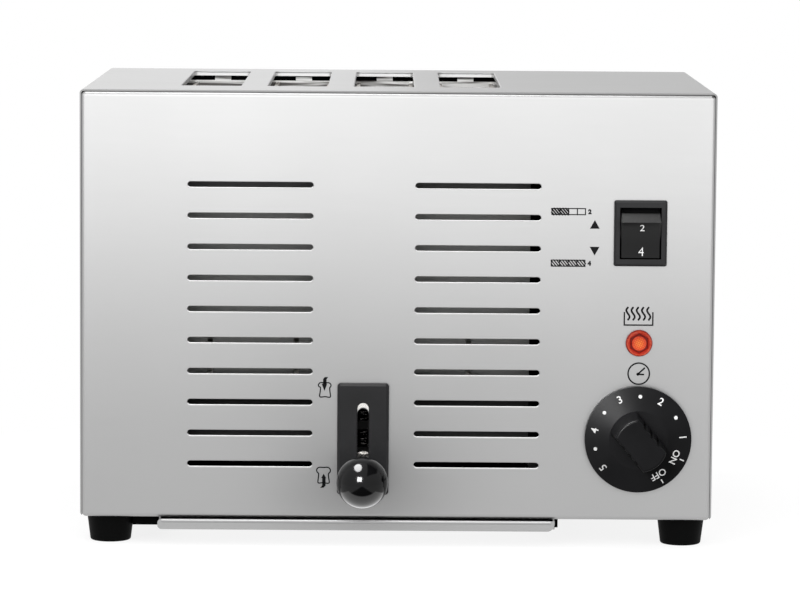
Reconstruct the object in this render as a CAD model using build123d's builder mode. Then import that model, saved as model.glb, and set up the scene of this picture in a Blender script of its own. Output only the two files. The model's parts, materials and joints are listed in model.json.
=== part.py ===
"""Four-slot catering toaster: a bent steel casing round four bread slots, a bread carriage worked by a
ball lever, a timer dial, a two-way rocker switch, a pilot lamp and a crumb tray.

Millimetres. The front faces -Y, +Z is up, the feet stand on z = 0 and the origin lies on that surface
under the centre of the bounding box.
"""
import os
from math import cos, pi, radians, sin, sqrt, tan

from build123d import *

os.makedirs("parts", exist_ok=True)

# Casing
body_height = 211.0
side_room = 40.8
control_bay = 98.4
back_room = 26.5
sheet = 0.8
bend = 2.0
seam = 0.2
panel_flange = 12.0
flange_past_screw = 10.0

# Feet and the screws under the base
foot_height = 14.0
foot_top_diameter = 23.5
foot_bottom_diameter = 20.0
foot_rounding = 1.0
foot_inset_x = 14.0
foot_inset_y = 18.0
foot_recess_depth = 6.0
screw_diameter = 4.0
screw_head_diameter = 7.4
screw_head_height = 2.4
screw_reach = 2.0
screw_clearance = 0.2

# Bread slots in the top
slot_count = 4
slot_pitch = 43.2
slot_width = 30.0
slot_length = 141.5
slot_setback = 42.0
slot_corner = 2.2
collar_depth = 2.4
slot_edge_rounding = 0.5

# Air vents in the front and the back
vent_length = 61.6
vent_height = 3.0
vent_rows = 10
vent_pitch = 15.33
vent_low = 26.8
vent_column_pitch = 111.6
vent_rounding = 0.35

# Lever
lever_offset = 12.4
lever_rest = 24.0
lever_travel = 28.0
lever_rod_diameter = 5.0
lever_slot_width = 5.6
lever_slot_clearance = 0.5
ball_diameter = 25.0
ball_reach = 40.0
ball_neck_diameter = 11.0
ball_neck_length = 3.0
nut_width = 8.0
nut_height = 4.0
washer_diameter = 10.0
washer_thickness = 1.0
escutcheon_width = 25.4
escutcheon_height = 55.4
escutcheon_thickness = 3.0
escutcheon_bevel = 1.3
escutcheon_corner = 1.7
escutcheon_above_slot = 12.5
escutcheon_slot_rise = 2.8
escutcheon_slot_bevel = 0.5

# Controls on the right of the front
control_inset = 37.0
switch_height = 142.4
bezel_width = 26.0
bezel_height = 32.4
bezel_thickness = 2.2
bezel_rounding = 1.0
switch_opening_width = 20.4
switch_opening_height = 25.4
switch_wall = 1.3
switch_cavity_height = 27.8
switch_cavity_depth = 16.0
switch_body_depth = 24.0
switch_gap = 0.3
rocker_tilt = 15.0
rocker_ridge_half = 9.2
rocker_ridge_out = 12.0
rocker_end_half = 12.4
rocker_end_out = 5.2
rocker_back_half = 10.0
rocker_dish = 2.2
rocker_pivot_depth = 9.3
rocker_pin_diameter = 4.0
rocker_pin_length = 0.8
rocker_bevel = 0.6

lamp_height = 88.2
lamp_diameter = 13.2
lamp_projection = 3.0
lamp_taper = 1.2
lamp_taper_length = 1.8
lamp_recess_width = 8.6
lamp_recess_depth = 1.8
lamp_button_diameter = 5.6
lamp_body_diameter = 9.2
lamp_body_length = 24.0
lamp_ring_diameter = 12.6
lamp_ring_length = 3.0

dial_height = 40.7
dial_diameter = 52.5
dial_gap = 1.2
dial_rim = 2.6
dial_cone_rise = 2.6
dial_recess_depth = 1.8
grip_length = 29.0
grip_width = 17.4
grip_projection = 20.0
grip_draft = 4.0
grip_corner = 2.0
grip_rounding = 1.2
grip_notches = 3
grip_notch_pitch = 5.0
grip_notch_radius = 1.5
grip_angle = 140.0
timer_width = 44.0
timer_depth = 30.0
timer_neck_diameter = 12.0
timer_shaft_diameter = 6.0
timer_shaft_reach = 13.0
shaft_clearance = 0.08

# Bread chamber
plate_below_top = 5.0
plate_tab_width = 8.6
rear_plate_setback = 3.5
wall_gap = 6.0
plate_overhang = 2.0
partition_gap = 16.4
board_thickness = 1.0
board_low = 62.0
board_top_gap = 15.0
board_tab = 6.0
board_tab_reach = 2.4
board_tab_inset = 26.8
ribbon_runs = 9
ribbon_width = 3.0
ribbon_thickness = 0.3
ribbon_margin = 6.0
guard_wire = 2.0
guard_inset = 0.2
guard_wires = 6
guard_low = 52.0
guard_top_gap = 7.0
fit_gap = 0.3

# Bread carriage
carriage_depth = 32.0
carriage_thickness = 1.5
carriage_bar_height = 12.0
carriage_stem_width = 28.0
carriage_foot_drop = 8.0
stem_window_width = 13.0
stem_lower_window = 9.0
stem_strip = 4.4
rack_level = 66.0
rack_thickness = 1.5
rack_finger_count = 7
rack_finger_length = 22.0
rack_finger_width = 5.0
rack_finger_thickness = 1.5
rack_end_margin = 6.0
rack_clearance = 0.6
tie_bar_gap = 2.2
shelf_above_lever = 5.4
bush_diameter = 6.0
bush_length = 14.0
bush_clearance = 0.08
guide_rod_diameter = 5.0
guide_rod_spacing = 36.0
guide_rod_top = 112.0
bracket_height = 12.0

# Return spring
spring_turns = 15
spring_mean_diameter = 4.4
spring_wire = 0.8
spring_length = 46.0
anchor_width = 9.0
anchor_height = 9.0

# Crumb tray and its rails
rail_foot_gap = 0.25
rail_wall_gap = 17.0
rail_depth = 6.8
rail_thickness = 1.0
rail_top_flange = 6.0
rail_bottom_flange = 4.0
rail_setback = 13.0
rail_back_room = 20.0
tray_gap = 0.3
tray_wall_gap = 0.6
tray_end_gap = 5.0
tray_lip_left_inset = 12.4
tray_lip_right_inset = 2.1
tray_lip_height = 5.2
tray_lip_gap = 0.6
tray_lip_reach = 1.6
tray_lip_corner = 2.0
tray_lip_large_corner = 3.8
tray_roll_diameter = 1.8
tray_opening_margin = 4.0

# Mains inlet
gland_height = 32.0
gland_projection = 12.0
gland_flange_diameter = 22.0
gland_flange_thickness = 4.0
gland_body_diameter = 15.0
gland_bore = 8.5
gland_nut_width = 20.0
gland_nut_height = 5.0
terminal_length = 44.0
terminal_width = 20.0
terminal_height = 17.0
terminal_poles = 3
terminal_pitch = 13.0
terminal_hole = 5.0
terminal_setback = 150.0

# Levels and planes that the pieces share
body_width = side_room + slot_count * slot_pitch + control_bay
body_depth = slot_setback + slot_length + back_room
body_bottom = foot_height
body_top = foot_height + body_height
front_y = (ball_reach + ball_diameter / 2 - gland_projection - body_depth) / 2
rear_y = front_y + body_depth
mid_y = (front_y + rear_y) / 2
front_plane = Plane((0, front_y, 0), x_dir=(1, 0, 0), z_dir=(0, -1, 0))
rear_plane = Plane((0, rear_y, 0), x_dir=(-1, 0, 0), z_dir=(0, 1, 0))
panel_width = body_width - 2 * (sheet + seam)
panel_height = body_height - sheet - seam
base_top = body_bottom + 2 * sheet
foot_x = body_width / 2 - foot_inset_x
foot_ys = (front_y + foot_inset_y, rear_y - foot_inset_y)
foot_places = [(x, y) for x in (-foot_x, foot_x) for y in foot_ys]
casing_flange = foot_inset_x + flange_past_screw
flange_screw_x = body_width / 2 - casing_flange / 2
flange_places = [(-flange_screw_x, mid_y), (flange_screw_x, mid_y)]
screw_hole = screw_diameter / 2 + screw_clearance
slot_front_y = front_y + slot_setback
slot_back_y = slot_front_y + slot_length
slot_mid_y = (slot_front_y + slot_back_y) / 2
slot_array_x = (side_room - control_bay) / 2
slot_xs = [slot_array_x + (i - (slot_count - 1) / 2) * slot_pitch for i in range(slot_count)]
heater_xs = [slot_array_x + (i - slot_count / 2) * slot_pitch for i in range(slot_count + 1)]
plate_front_y = slot_front_y - 2 * sheet
plate_inner_front_y = plate_front_y + sheet
plate_rear_y = slot_back_y + rear_plate_setback
plate_top = body_top - plate_below_top
plate_tab_top = body_top - sheet - fit_gap
wall_left_x = heater_xs[0] - wall_gap
wall_right_x = heater_xs[-1] + wall_gap
plate_left_x = wall_left_x - sheet - plate_overhang
plate_right_x = wall_right_x + sheet + plate_overhang
chamber_mid_y = (plate_inner_front_y + plate_rear_y) / 2
chamber_length = plate_rear_y - plate_inner_front_y
partition_x = wall_right_x + partition_gap
board_height = body_height - board_low - board_top_gap
board_bottom = body_bottom + board_low
board_tab_zs = (board_bottom + board_tab_inset, board_bottom + board_height - board_tab_inset)
guard_gap = slot_width - 2 * (guard_wire + guard_inset)
rail_left_x = foot_top_diameter / 2 + rail_foot_gap - foot_x
rail_right_x = wall_right_x + rail_wall_gap
rail_length = body_depth - rail_setback - rail_back_room
tray_length = rail_length - tray_end_gap
lever_x = slot_array_x + lever_offset
lever_z = body_bottom + lever_rest
rack_low = body_bottom + rack_level - carriage_bar_height
carriage_y = front_y + carriage_depth
carriage_back_y = carriage_y + carriage_thickness
guide_y = (carriage_back_y + plate_front_y) / 2
tie_bar_y = plate_rear_y + sheet + tie_bar_gap
shelf_z = lever_z + shelf_above_lever
control_x = body_width / 2 - control_inset
vent_z = body_bottom + vent_low + (vent_rows - 1) * vent_pitch / 2
switch_z = body_bottom + switch_height
lamp_z = body_bottom + lamp_height
dial_z = body_bottom + dial_height
gland_z = body_bottom + gland_height
lever_slot_length = lever_travel + lever_rod_diameter + 2 * lever_slot_clearance
lever_slot_z = lever_z + lever_travel / 2
escutcheon_z = lever_slot_z + lever_slot_length / 2 + escutcheon_above_slot - escutcheon_height / 2
bottom_align = (Align.CENTER, Align.CENTER, Align.MIN)


# Casing: left side, top and right side bent from one sheet, with turned-in flanges below
with BuildPart() as casing:
    with Locations((0, mid_y, body_bottom)):
        Box(body_width, body_depth - 2 * (bend + seam), body_height, align=bottom_align)
    fillet(casing.edges().filter_by(Axis.Y), bend)
    offset(amount=-sheet, openings=casing.faces().filter_by(Axis.Y))
    with Locations((0, mid_y, body_bottom)):
        Box(body_width - 2 * casing_flange, body_depth, 2 * bend, mode=Mode.SUBTRACT)
    with Locations((0, front_y, body_bottom), (0, rear_y, body_bottom)):
        Box(panel_width + 2 * seam, 2 * (panel_flange + seam), 2 * (bend + seam), mode=Mode.SUBTRACT)
    with BuildSketch(Plane.XY.offset(body_top - collar_depth)):
        with Locations((slot_array_x, slot_mid_y)):
            with GridLocations(slot_pitch, 0, slot_count, 1):
                RectangleRounded(slot_width + 2 * sheet, slot_length + 2 * sheet, slot_corner + sheet)
    extrude(amount=collar_depth - sheet / 2)
    with BuildSketch(Plane.XY.offset(body_top)):
        with Locations((slot_array_x, slot_mid_y)):
            with GridLocations(slot_pitch, 0, slot_count, 1):
                RectangleRounded(slot_width, slot_length, slot_corner)
    extrude(amount=-collar_depth, mode=Mode.SUBTRACT)
    top_face = casing.faces().filter_by(Axis.Z).sort_by(Axis.Z)[-1]
    fillet([edge for wire in top_face.inner_wires() for edge in wire.edges()], slot_edge_rounding)
    with Locations(*[(x, y, body_bottom) for x, y in foot_places + flange_places]):
        Cylinder(screw_hole, 4 * sheet, mode=Mode.SUBTRACT)


def vent_outlines(plane):
    """Return the two columns of round-ended air vents that both panels have, drawn on plane."""
    with BuildSketch(plane) as vents:
        with Locations((plane.x_dir.X * lever_x, vent_z)):
            with GridLocations(vent_column_pitch, vent_pitch, 2, vent_rows):
                SlotOverall(vent_length, vent_height)
    return vents.sketch


# Front panel: a pan with rounded edges, tucked into the casing
with BuildPart() as front_panel:
    with Locations((0, front_y, body_bottom)):
        Box(panel_width, panel_flange, panel_height, align=(Align.CENTER, Align.MIN, Align.MIN))
    fillet(front_panel.edges().filter_by(Axis.Y) + front_panel.edges().group_by(Axis.Y)[0], bend)
    offset(amount=-sheet, openings=front_panel.faces().sort_by(Axis.Y)[-1])
    extrude(vent_outlines(front_plane), amount=-2 * sheet, mode=Mode.SUBTRACT)
    front_face = front_panel.faces().sort_by(Axis.Y)[0]
    fillet(front_face.inner_wires().edges(), vent_rounding)
    with BuildSketch(front_plane):
        with Locations((lever_x, lever_slot_z)):
            SlotOverall(lever_slot_length, lever_slot_width, rotation=90)
        with Locations((control_x, switch_z)):
            Rectangle(
                switch_opening_width + 2 * (switch_wall + seam),
                switch_cavity_height + 2 * (switch_wall + seam),
            )
        with Locations((control_x, lamp_z)):
            Circle(lamp_body_diameter / 2 + seam)
        with Locations((control_x, dial_z)):
            Circle(timer_neck_diameter / 2 + seam)
    extrude(amount=-2 * sheet, mode=Mode.SUBTRACT)

# Rear panel: the same pan turned round, with the hole of the cord gland
with BuildPart() as rear_panel:
    with Locations((0, rear_y, body_bottom)):
        Box(panel_width, panel_flange, panel_height, align=(Align.CENTER, Align.MAX, Align.MIN))
    fillet(rear_panel.edges().filter_by(Axis.Y) + rear_panel.edges().group_by(Axis.Y)[-1], bend)
    offset(amount=-sheet, openings=rear_panel.faces().sort_by(Axis.Y)[0])
    extrude(vent_outlines(rear_plane), amount=-2 * sheet, mode=Mode.SUBTRACT)
    rear_face = rear_panel.faces().sort_by(Axis.Y)[-1]
    fillet(rear_face.inner_wires().edges(), vent_rounding)
    with BuildSketch(rear_plane):
        with Locations((-control_x, gland_z)):
            Circle(gland_body_diameter / 2 + seam)
    extrude(amount=-2 * sheet, mode=Mode.SUBTRACT)

# Base plate on the flanges, open under the bread chamber so that crumbs fall into the tray
base_width = panel_width - 2 * (sheet + bend)
base_depth = body_depth - 2 * (sheet + bend)
with BuildPart() as base_plate:
    with BuildSketch(Plane.XY.offset(body_bottom + sheet)):
        with Locations((0, mid_y)):
            RectangleRounded(base_width, base_depth, bend)
        with Locations(((wall_left_x + wall_right_x) / 2, chamber_mid_y)):
            Rectangle(
                wall_right_x - wall_left_x - 2 * tray_opening_margin,
                chamber_length - 2 * tray_opening_margin,
                mode=Mode.SUBTRACT,
            )
        with Locations(*foot_places, *flange_places):
            Circle(screw_hole, mode=Mode.SUBTRACT)
    extrude(amount=sheet)


def make_foot(x, y):
    """Return one tapered rubber foot with its screw recess, standing at x, y."""
    with BuildPart() as foot:
        with BuildSketch(Plane((x, y, 0), x_dir=(1, 0, 0), z_dir=(0, -1, 0))) as profile:
            Polygon(
                (0, 0),
                (foot_bottom_diameter / 2, 0),
                (foot_top_diameter / 2, foot_height),
                (0, foot_height),
                align=None,
            )
            fillet(profile.vertices().group_by(Axis.Y)[0].sort_by(Axis.X)[-1], foot_rounding)
        revolve(axis=Axis((x, y, 0), (0, 0, 1)))
        with Locations((x, y, 0)):
            Cylinder(
                screw_head_diameter / 2 + 2 * screw_clearance,
                foot_recess_depth,
                align=bottom_align,
                mode=Mode.SUBTRACT,
            )
            Cylinder(screw_hole, foot_height, align=bottom_align, mode=Mode.SUBTRACT)
    return foot.part


# Screws: four in the feet and two in the side flanges, heads below
with BuildPart() as base_screws:
    for places, seat in ((foot_places, foot_recess_depth), (flange_places, body_bottom)):
        with Locations(*[(x, y, seat) for x, y in places]):
            Cylinder(screw_diameter / 2, base_top + screw_reach - seat, align=bottom_align)
            Cylinder(
                screw_head_diameter / 2,
                screw_head_height,
                align=(Align.CENTER, Align.CENTER, Align.MAX),
            )

# Tray rails: channels under the base that the tray's edges run in
rail_top = body_bottom + sheet
rail_bottom = rail_top - rail_depth
rail_left_web = tray_lip_left_inset - tray_wall_gap
rail_left_top_flange = wall_left_x + tray_opening_margin - tray_gap - rail_left_x - rail_left_web


def make_rail(outer_x, inward, web, top_flange):
    """Return one channel rail whose web starts at outer_x and whose flanges point inward from the web."""
    web_x = outer_x + inward * web
    top_x = web_x + inward * top_flange
    bottom_x = web_x + inward * rail_bottom_flange
    with BuildPart() as rail:
        with BuildSketch(Plane.XZ.offset(-(front_y + rail_setback))):
            with BuildLine():
                Polyline(
                    (top_x, rail_top),
                    (outer_x, rail_top),
                    (outer_x, rail_bottom),
                    (bottom_x, rail_bottom),
                    (bottom_x, rail_bottom + rail_thickness),
                    (web_x, rail_bottom + rail_thickness),
                    (web_x, rail_top - rail_thickness),
                    (top_x, rail_top - rail_thickness),
                    close=True,
                )
            make_face()
        extrude(amount=-rail_length)
    return rail.part


# Crumb tray: a shallow pan in the rails with an upright lip at the front
tray_left_x = rail_left_x + rail_left_web + tray_wall_gap
tray_right_x = rail_right_x - rail_thickness - tray_wall_gap
tray_bottom = rail_bottom + rail_thickness + tray_gap
tray_top = rail_top - rail_thickness - tray_gap
tray_front_y = front_y + rail_setback + tray_wall_gap
tray_back_y = tray_front_y + tray_length
lip_top = body_bottom - tray_lip_gap
lip_y = front_y - tray_lip_reach
lip_left_x = rail_left_x + tray_lip_left_inset
lip_right_x = rail_right_x - tray_lip_right_inset
lip_width = lip_right_x - lip_left_x
lip_x = (lip_left_x + lip_right_x) / 2
with BuildPart() as crumb_tray:
    with Locations(((tray_left_x + tray_right_x) / 2, (tray_front_y + tray_back_y) / 2, tray_bottom)):
        Box(tray_right_x - tray_left_x, tray_length, tray_top - tray_bottom, align=bottom_align)
    tray_faces = crumb_tray.faces()
    offset(amount=-sheet, openings=[tray_faces.sort_by(Axis.Z)[-1], tray_faces.sort_by(Axis.Y)[0]])
    with BuildSketch(Plane.XY.offset(tray_bottom)):
        with Locations((lip_x, lip_y)):
            Rectangle(lip_width, tray_front_y - lip_y + sheet, align=(Align.CENTER, Align.MIN))
    extrude(amount=sheet)
    with BuildSketch(Plane.XZ.offset(-lip_y)) as lip:
        with Locations((lip_x, lip_top)):
            Rectangle(lip_width, tray_lip_height, align=(Align.CENTER, Align.MAX))
        right_corner = lip.vertices().group_by(Axis.Y)[0].sort_by(Axis.X)[-1]
        fillet(right_corner, tray_lip_large_corner)
        fillet(lip.vertices().group_by(Axis.X)[0], tray_lip_corner)
    extrude(amount=-sheet)
    with Locations((lip_x, lip_y + sheet / 2, lip_top - tray_roll_diameter / 2)):
        Cylinder(
            tray_roll_diameter / 2,
            lip_width - 2 * tray_lip_corner,
            rotation=(0, 90, 0),
        )

# Lever: rod, ball, nuts and the escutcheon round its slot
rod_back_y = carriage_back_y + nut_height
with BuildPart() as lever_rod:
    with BuildSketch(Plane.XZ.offset(-rod_back_y)):
        with Locations((lever_x, lever_z)):
            Circle(lever_rod_diameter / 2)
    extrude(amount=rod_back_y - front_y + ball_reach)

with BuildPart() as lever_knob:
    with Locations((lever_x, front_y - ball_reach, lever_z)):
        Sphere(ball_diameter / 2)
    with BuildSketch(Plane.XZ.offset(ball_reach - front_y)):
        with Locations((lever_x, lever_z)):
            Circle(ball_neck_diameter / 2)
    extrude(amount=-(ball_diameter / 2 + ball_neck_length))
    with BuildSketch(Plane.XZ.offset(ball_reach - front_y)):
        with Locations((lever_x, lever_z)):
            Circle(lever_rod_diameter / 2)
    extrude(amount=-ball_diameter, mode=Mode.SUBTRACT)

with BuildPart() as lever_washer:
    with BuildSketch(Plane.XZ.offset(-carriage_y)):
        with Locations((lever_x, lever_z)):
            Circle(washer_diameter / 2)
            Circle(lever_rod_diameter / 2, mode=Mode.SUBTRACT)
    extrude(amount=washer_thickness)

with BuildPart() as lever_nuts:
    for seat_y in (carriage_y - washer_thickness, carriage_back_y + nut_height):
        with BuildSketch(Plane.XZ.offset(-seat_y)):
            with Locations((lever_x, lever_z)):
                RegularPolygon(nut_width / 2, 6, major_radius=False)
                Circle(lever_rod_diameter / 2, mode=Mode.SUBTRACT)
        extrude(amount=nut_height)

with BuildPart() as lever_escutcheon:
    with BuildSketch(front_plane):
        with Locations((lever_x, escutcheon_z)):
            RectangleRounded(escutcheon_width, escutcheon_height, escutcheon_corner)
    extrude(amount=escutcheon_thickness)
    chamfer(lever_escutcheon.edges().group_by(Axis.Y)[0], escutcheon_bevel)
    with BuildSketch(front_plane):
        with Locations((lever_x, lever_slot_z + escutcheon_slot_rise / 2)):
            SlotOverall(lever_slot_length + escutcheon_slot_rise, lever_slot_width, rotation=90)
    extrude(amount=escutcheon_thickness, mode=Mode.SUBTRACT)
    escutcheon_face = lever_escutcheon.faces().sort_by(Axis.Y)[0]
    chamfer(escutcheon_face.inner_wires().edges(), escutcheon_slot_bevel)

# Rocker switch: a snap-in housing and the rocker on two side pins
switch_body_width = switch_opening_width + 2 * switch_wall
switch_body_height = switch_cavity_height + 2 * switch_wall
rocker_width = switch_opening_width - 2 * switch_gap
pivot_y = front_y - bezel_thickness + rocker_pivot_depth
with BuildPart() as switch_housing:
    with BuildSketch(front_plane):
        with Locations((control_x, switch_z)):
            RectangleRounded(bezel_width, bezel_height, bezel_rounding)
    extrude(amount=bezel_thickness)
    chamfer(switch_housing.edges().group_by(Axis.Y)[0], bezel_rounding)
    with BuildSketch(front_plane):
        with Locations((control_x, switch_z)):
            Rectangle(switch_body_width, switch_body_height)
    extrude(amount=-switch_body_depth)
    with BuildSketch(front_plane):
        with Locations((control_x, switch_z)):
            Rectangle(switch_opening_width, switch_opening_height)
    extrude(amount=bezel_thickness, mode=Mode.SUBTRACT)
    with BuildSketch(front_plane):
        with Locations((control_x, switch_z)):
            Rectangle(switch_opening_width, switch_cavity_height)
    extrude(amount=-switch_cavity_depth, mode=Mode.SUBTRACT)
    with Locations((control_x, pivot_y, switch_z)):
        Cylinder(
            rocker_pin_diameter / 2 + shaft_clearance,
            rocker_width + 2 * (rocker_pin_length + switch_gap),
            rotation=(0, 90, 0),
            mode=Mode.SUBTRACT,
        )

tilt = radians(rocker_tilt)
rocker_plane = Plane(
    (control_x, pivot_y, switch_z), x_dir=(0, -cos(tilt), -sin(tilt)), z_dir=(-1, 0, 0)
)
with BuildPart() as rocker_button:
    with BuildSketch(rocker_plane):
        with BuildLine():
            ThreePointArc(
                (rocker_ridge_out, -rocker_ridge_half),
                (rocker_ridge_out - rocker_dish, 0),
                (rocker_ridge_out, rocker_ridge_half),
            )
            Polyline(
                (rocker_ridge_out, rocker_ridge_half),
                (rocker_end_out, rocker_end_half),
                (-rocker_pin_diameter / 2, rocker_back_half),
                (-rocker_pin_diameter / 2, -rocker_back_half),
                (rocker_end_out, -rocker_end_half),
                (rocker_ridge_out, -rocker_ridge_half),
            )
        make_face()
    extrude(amount=rocker_width / 2, both=True)
    chamfer(rocker_button.faces().filter_by(Axis.X).edges(), rocker_bevel)
    with Locations((control_x, pivot_y, switch_z)):
        Cylinder(
            rocker_pin_diameter / 2,
            rocker_width + 2 * rocker_pin_length,
            rotation=(0, 90, 0),
        )

# Pilot lamp: a tapered lens with a six-sided recess round a raised button, and the lamp behind it
with BuildPart() as pilot_lamp_lens:
    with BuildSketch(front_plane):
        with Locations((control_x, lamp_z)):
            Circle(lamp_diameter / 2)
    extrude(amount=lamp_projection)
    chamfer(
        pilot_lamp_lens.edges().group_by(Axis.Y)[0],
        length=lamp_taper_length,
        length2=lamp_taper,
    )
    with BuildSketch(front_plane.offset(lamp_projection)):
        with Locations((control_x, lamp_z)):
            RegularPolygon(lamp_recess_width / 2, 6, major_radius=False)
            Circle(lamp_button_diameter / 2, mode=Mode.SUBTRACT)
    extrude(amount=-lamp_recess_depth, mode=Mode.SUBTRACT)

with BuildPart() as pilot_lamp_body:
    with BuildSketch(front_plane):
        with Locations((control_x, lamp_z)):
            Circle(lamp_body_diameter / 2)
    extrude(amount=-lamp_body_length)
    with BuildSketch(front_plane.offset(-sheet)):
        with Locations((control_x, lamp_z)):
            Circle(lamp_ring_diameter / 2)
    extrude(amount=-lamp_ring_length)

# Timer: the clockwork body behind the panel, its shaft and the dial knob
with BuildPart() as timer_body:
    with BuildSketch(front_plane.offset(-sheet)):
        with Locations((control_x, dial_z)):
            RectangleRounded(timer_width, timer_width, bend)
    extrude(amount=-timer_depth)
    with BuildSketch(front_plane):
        with Locations((control_x, dial_z)):
            Circle(timer_neck_diameter / 2)
    extrude(amount=-2 * sheet)
    with BuildSketch(front_plane):
        with Locations((control_x, dial_z)):
            Circle(timer_shaft_diameter / 2 + shaft_clearance)
    extrude(amount=-timer_depth / 2, mode=Mode.SUBTRACT)

with BuildPart() as timer_shaft:
    with BuildSketch(front_plane.offset(timer_shaft_reach)):
        with Locations((control_x, dial_z)):
            Circle(timer_shaft_diameter / 2)
    extrude(amount=-(timer_shaft_reach + timer_depth / 2 - fit_gap))

dial_plane = Plane((control_x, front_y - dial_gap, dial_z), x_dir=(1, 0, 0), z_dir=(0, -1, 0))
with BuildPart() as timer_knob:
    with BuildSketch(dial_plane):
        Circle(dial_diameter / 2)
    extrude(amount=dial_rim)
    with BuildSketch(dial_plane.offset(dial_rim)):
        Circle(dial_diameter / 2)
    with BuildSketch(dial_plane.offset(dial_rim + dial_cone_rise)):
        Circle(grip_length / 2)
    loft()
    with BuildSketch(dial_plane.offset(dial_rim)) as grip:
        Circle(grip_length / 2)
        Rectangle(grip_width, grip_length, rotation=-grip_angle, mode=Mode.INTERSECT)
        fillet(grip.vertices(), grip_corner)
    extrude(amount=grip_projection + dial_cone_rise, taper=grip_draft)
    grip_face = timer_knob.faces().sort_by(Axis.Y)[0]
    fillet(grip_face.edges(), grip_rounding)
    notch_turn = radians(-grip_angle)
    notch_out = grip_width / 2 - grip_projection * tan(radians(grip_draft)) / 2
    with BuildSketch(dial_plane.offset(dial_rim + dial_cone_rise)):
        for side in (-1, 1):
            for notch in range(grip_notches):
                along = (notch - (grip_notches - 1) / 2) * grip_notch_pitch
                across = side * notch_out
                with Locations((
                    across * cos(notch_turn) - along * sin(notch_turn),
                    across * sin(notch_turn) + along * cos(notch_turn),
                )):
                    Circle(grip_notch_radius)
    extrude(amount=grip_projection, mode=Mode.SUBTRACT)
    with BuildSketch(dial_plane):
        Circle(dial_diameter / 2 - 2 * dial_rim)
        Circle(timer_shaft_diameter, mode=Mode.SUBTRACT)
    extrude(amount=dial_recess_depth, mode=Mode.SUBTRACT)
    with BuildSketch(dial_plane):
        Circle(timer_shaft_diameter / 2)
    extrude(amount=timer_shaft_reach - dial_gap, mode=Mode.SUBTRACT)


# Bread chamber: front and rear plates with slots for the racks, and two side walls
def make_end_plate(plate_y):
    """Return one end plate of the chamber, its front face at plate_y."""
    with BuildPart() as plate:
        with BuildSketch(Plane.XZ.offset(-plate_y)):
            with Locations((plate_left_x, base_top)):
                Rectangle(plate_right_x - plate_left_x, plate_top - base_top, align=(Align.MIN, Align.MIN))
            with Locations(*[(x, plate_top) for x in slot_xs]):
                Rectangle(plate_tab_width, 2 * (plate_tab_top - plate_top))
            slot_low = rack_low - rack_clearance
            slot_high = rack_low + carriage_bar_height + lever_travel + rack_clearance
            with Locations(*[(x, (slot_low + slot_high) / 2) for x in slot_xs]):
                Rectangle(rack_thickness + 2 * rack_clearance, slot_high - slot_low, mode=Mode.SUBTRACT)
            with Locations(*[(x, z) for x in heater_xs for z in board_tab_zs]):
                Rectangle(board_thickness + 2 * fit_gap, board_tab + 2 * fit_gap, mode=Mode.SUBTRACT)
        extrude(amount=-sheet)
    return plate.part


def make_chamber_wall(inner_x):
    """Return one side wall between the end plates, its lower face at inner_x."""
    with BuildPart() as wall:
        with BuildSketch(Plane.YZ.offset(inner_x)):
            with Locations((chamber_mid_y, base_top)):
                Rectangle(chamber_length, plate_top - base_top, align=(Align.CENTER, Align.MIN))
        extrude(amount=sheet)
    return wall.part


with BuildPart() as control_partition:
    with BuildSketch(Plane.YZ.offset(partition_x)):
        with Locations((mid_y, base_top)):
            Rectangle(
                body_depth - 2 * (panel_flange + fit_gap),
                body_height - 2 * sheet - sheet - fit_gap,
                align=(Align.CENTER, Align.MIN),
            )
    extrude(amount=sheet)


def make_heater_board(x):
    """Return one mica board with its end tabs, upright in the middle plane x."""
    board_length = chamber_length - 2 * fit_gap
    with BuildPart() as board:
        with BuildSketch(Plane.YZ.offset(x)):
            with Locations((chamber_mid_y, board_bottom)):
                Rectangle(board_length, board_height, align=(Align.CENTER, Align.MIN))
            with Locations(*[(chamber_mid_y, z) for z in board_tab_zs]):
                Rectangle(board_length + 2 * (fit_gap + board_tab_reach), board_tab)
        extrude(amount=board_thickness / 2, both=True)
    return board.part


# Heater ribbons: one winding path to and fro on each board face that looks at bread
ribbon_length = chamber_length - 2 * (fit_gap + ribbon_margin)
ribbon_pitch = (board_height - 2 * ribbon_margin - ribbon_width) / (ribbon_runs - 1)
ribbon_low = board_bottom + ribbon_margin + ribbon_width / 2
with BuildPart() as heater_ribbons:
    for index, x in enumerate(heater_xs):
        for side in (-1, 1):
            if (index == 0 and side < 0) or (index == slot_count and side > 0):
                continue
            with BuildSketch(Plane.YZ.offset(x + side * board_thickness / 2)):
                for run in range(ribbon_runs):
                    with Locations((chamber_mid_y, ribbon_low + run * ribbon_pitch)):
                        Rectangle(ribbon_length, ribbon_width)
                for link in range(ribbon_runs - 1):
                    end = 1 if link % 2 else -1
                    link_y = chamber_mid_y + end * (ribbon_length - ribbon_width) / 2
                    with Locations((link_y, ribbon_low + (link + 0.5) * ribbon_pitch)):
                        Rectangle(ribbon_width, ribbon_pitch)
            extrude(amount=side * ribbon_thickness)


def make_bread_guard(x):
    """Return the two wire grilles that keep bread off the heaters in the slot at x."""
    low = body_bottom + guard_low
    high = body_top - guard_top_gap
    length = chamber_length - 2 * fit_gap
    wire_pitch = (length - 2 * rack_end_margin) / (guard_wires - 1)
    with BuildPart() as guard:
        for side in (-1, 1):
            guard_x = x + side * (guard_gap + guard_wire) / 2
            with Locations((guard_x, chamber_mid_y, (low + high) / 2)):
                with GridLocations(0, wire_pitch, 1, guard_wires):
                    Box(guard_wire, guard_wire, high - low)
            with Locations((guard_x, chamber_mid_y, low), (guard_x, chamber_mid_y, high)):
                Box(guard_wire, length, guard_wire)
    return guard.part


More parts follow.
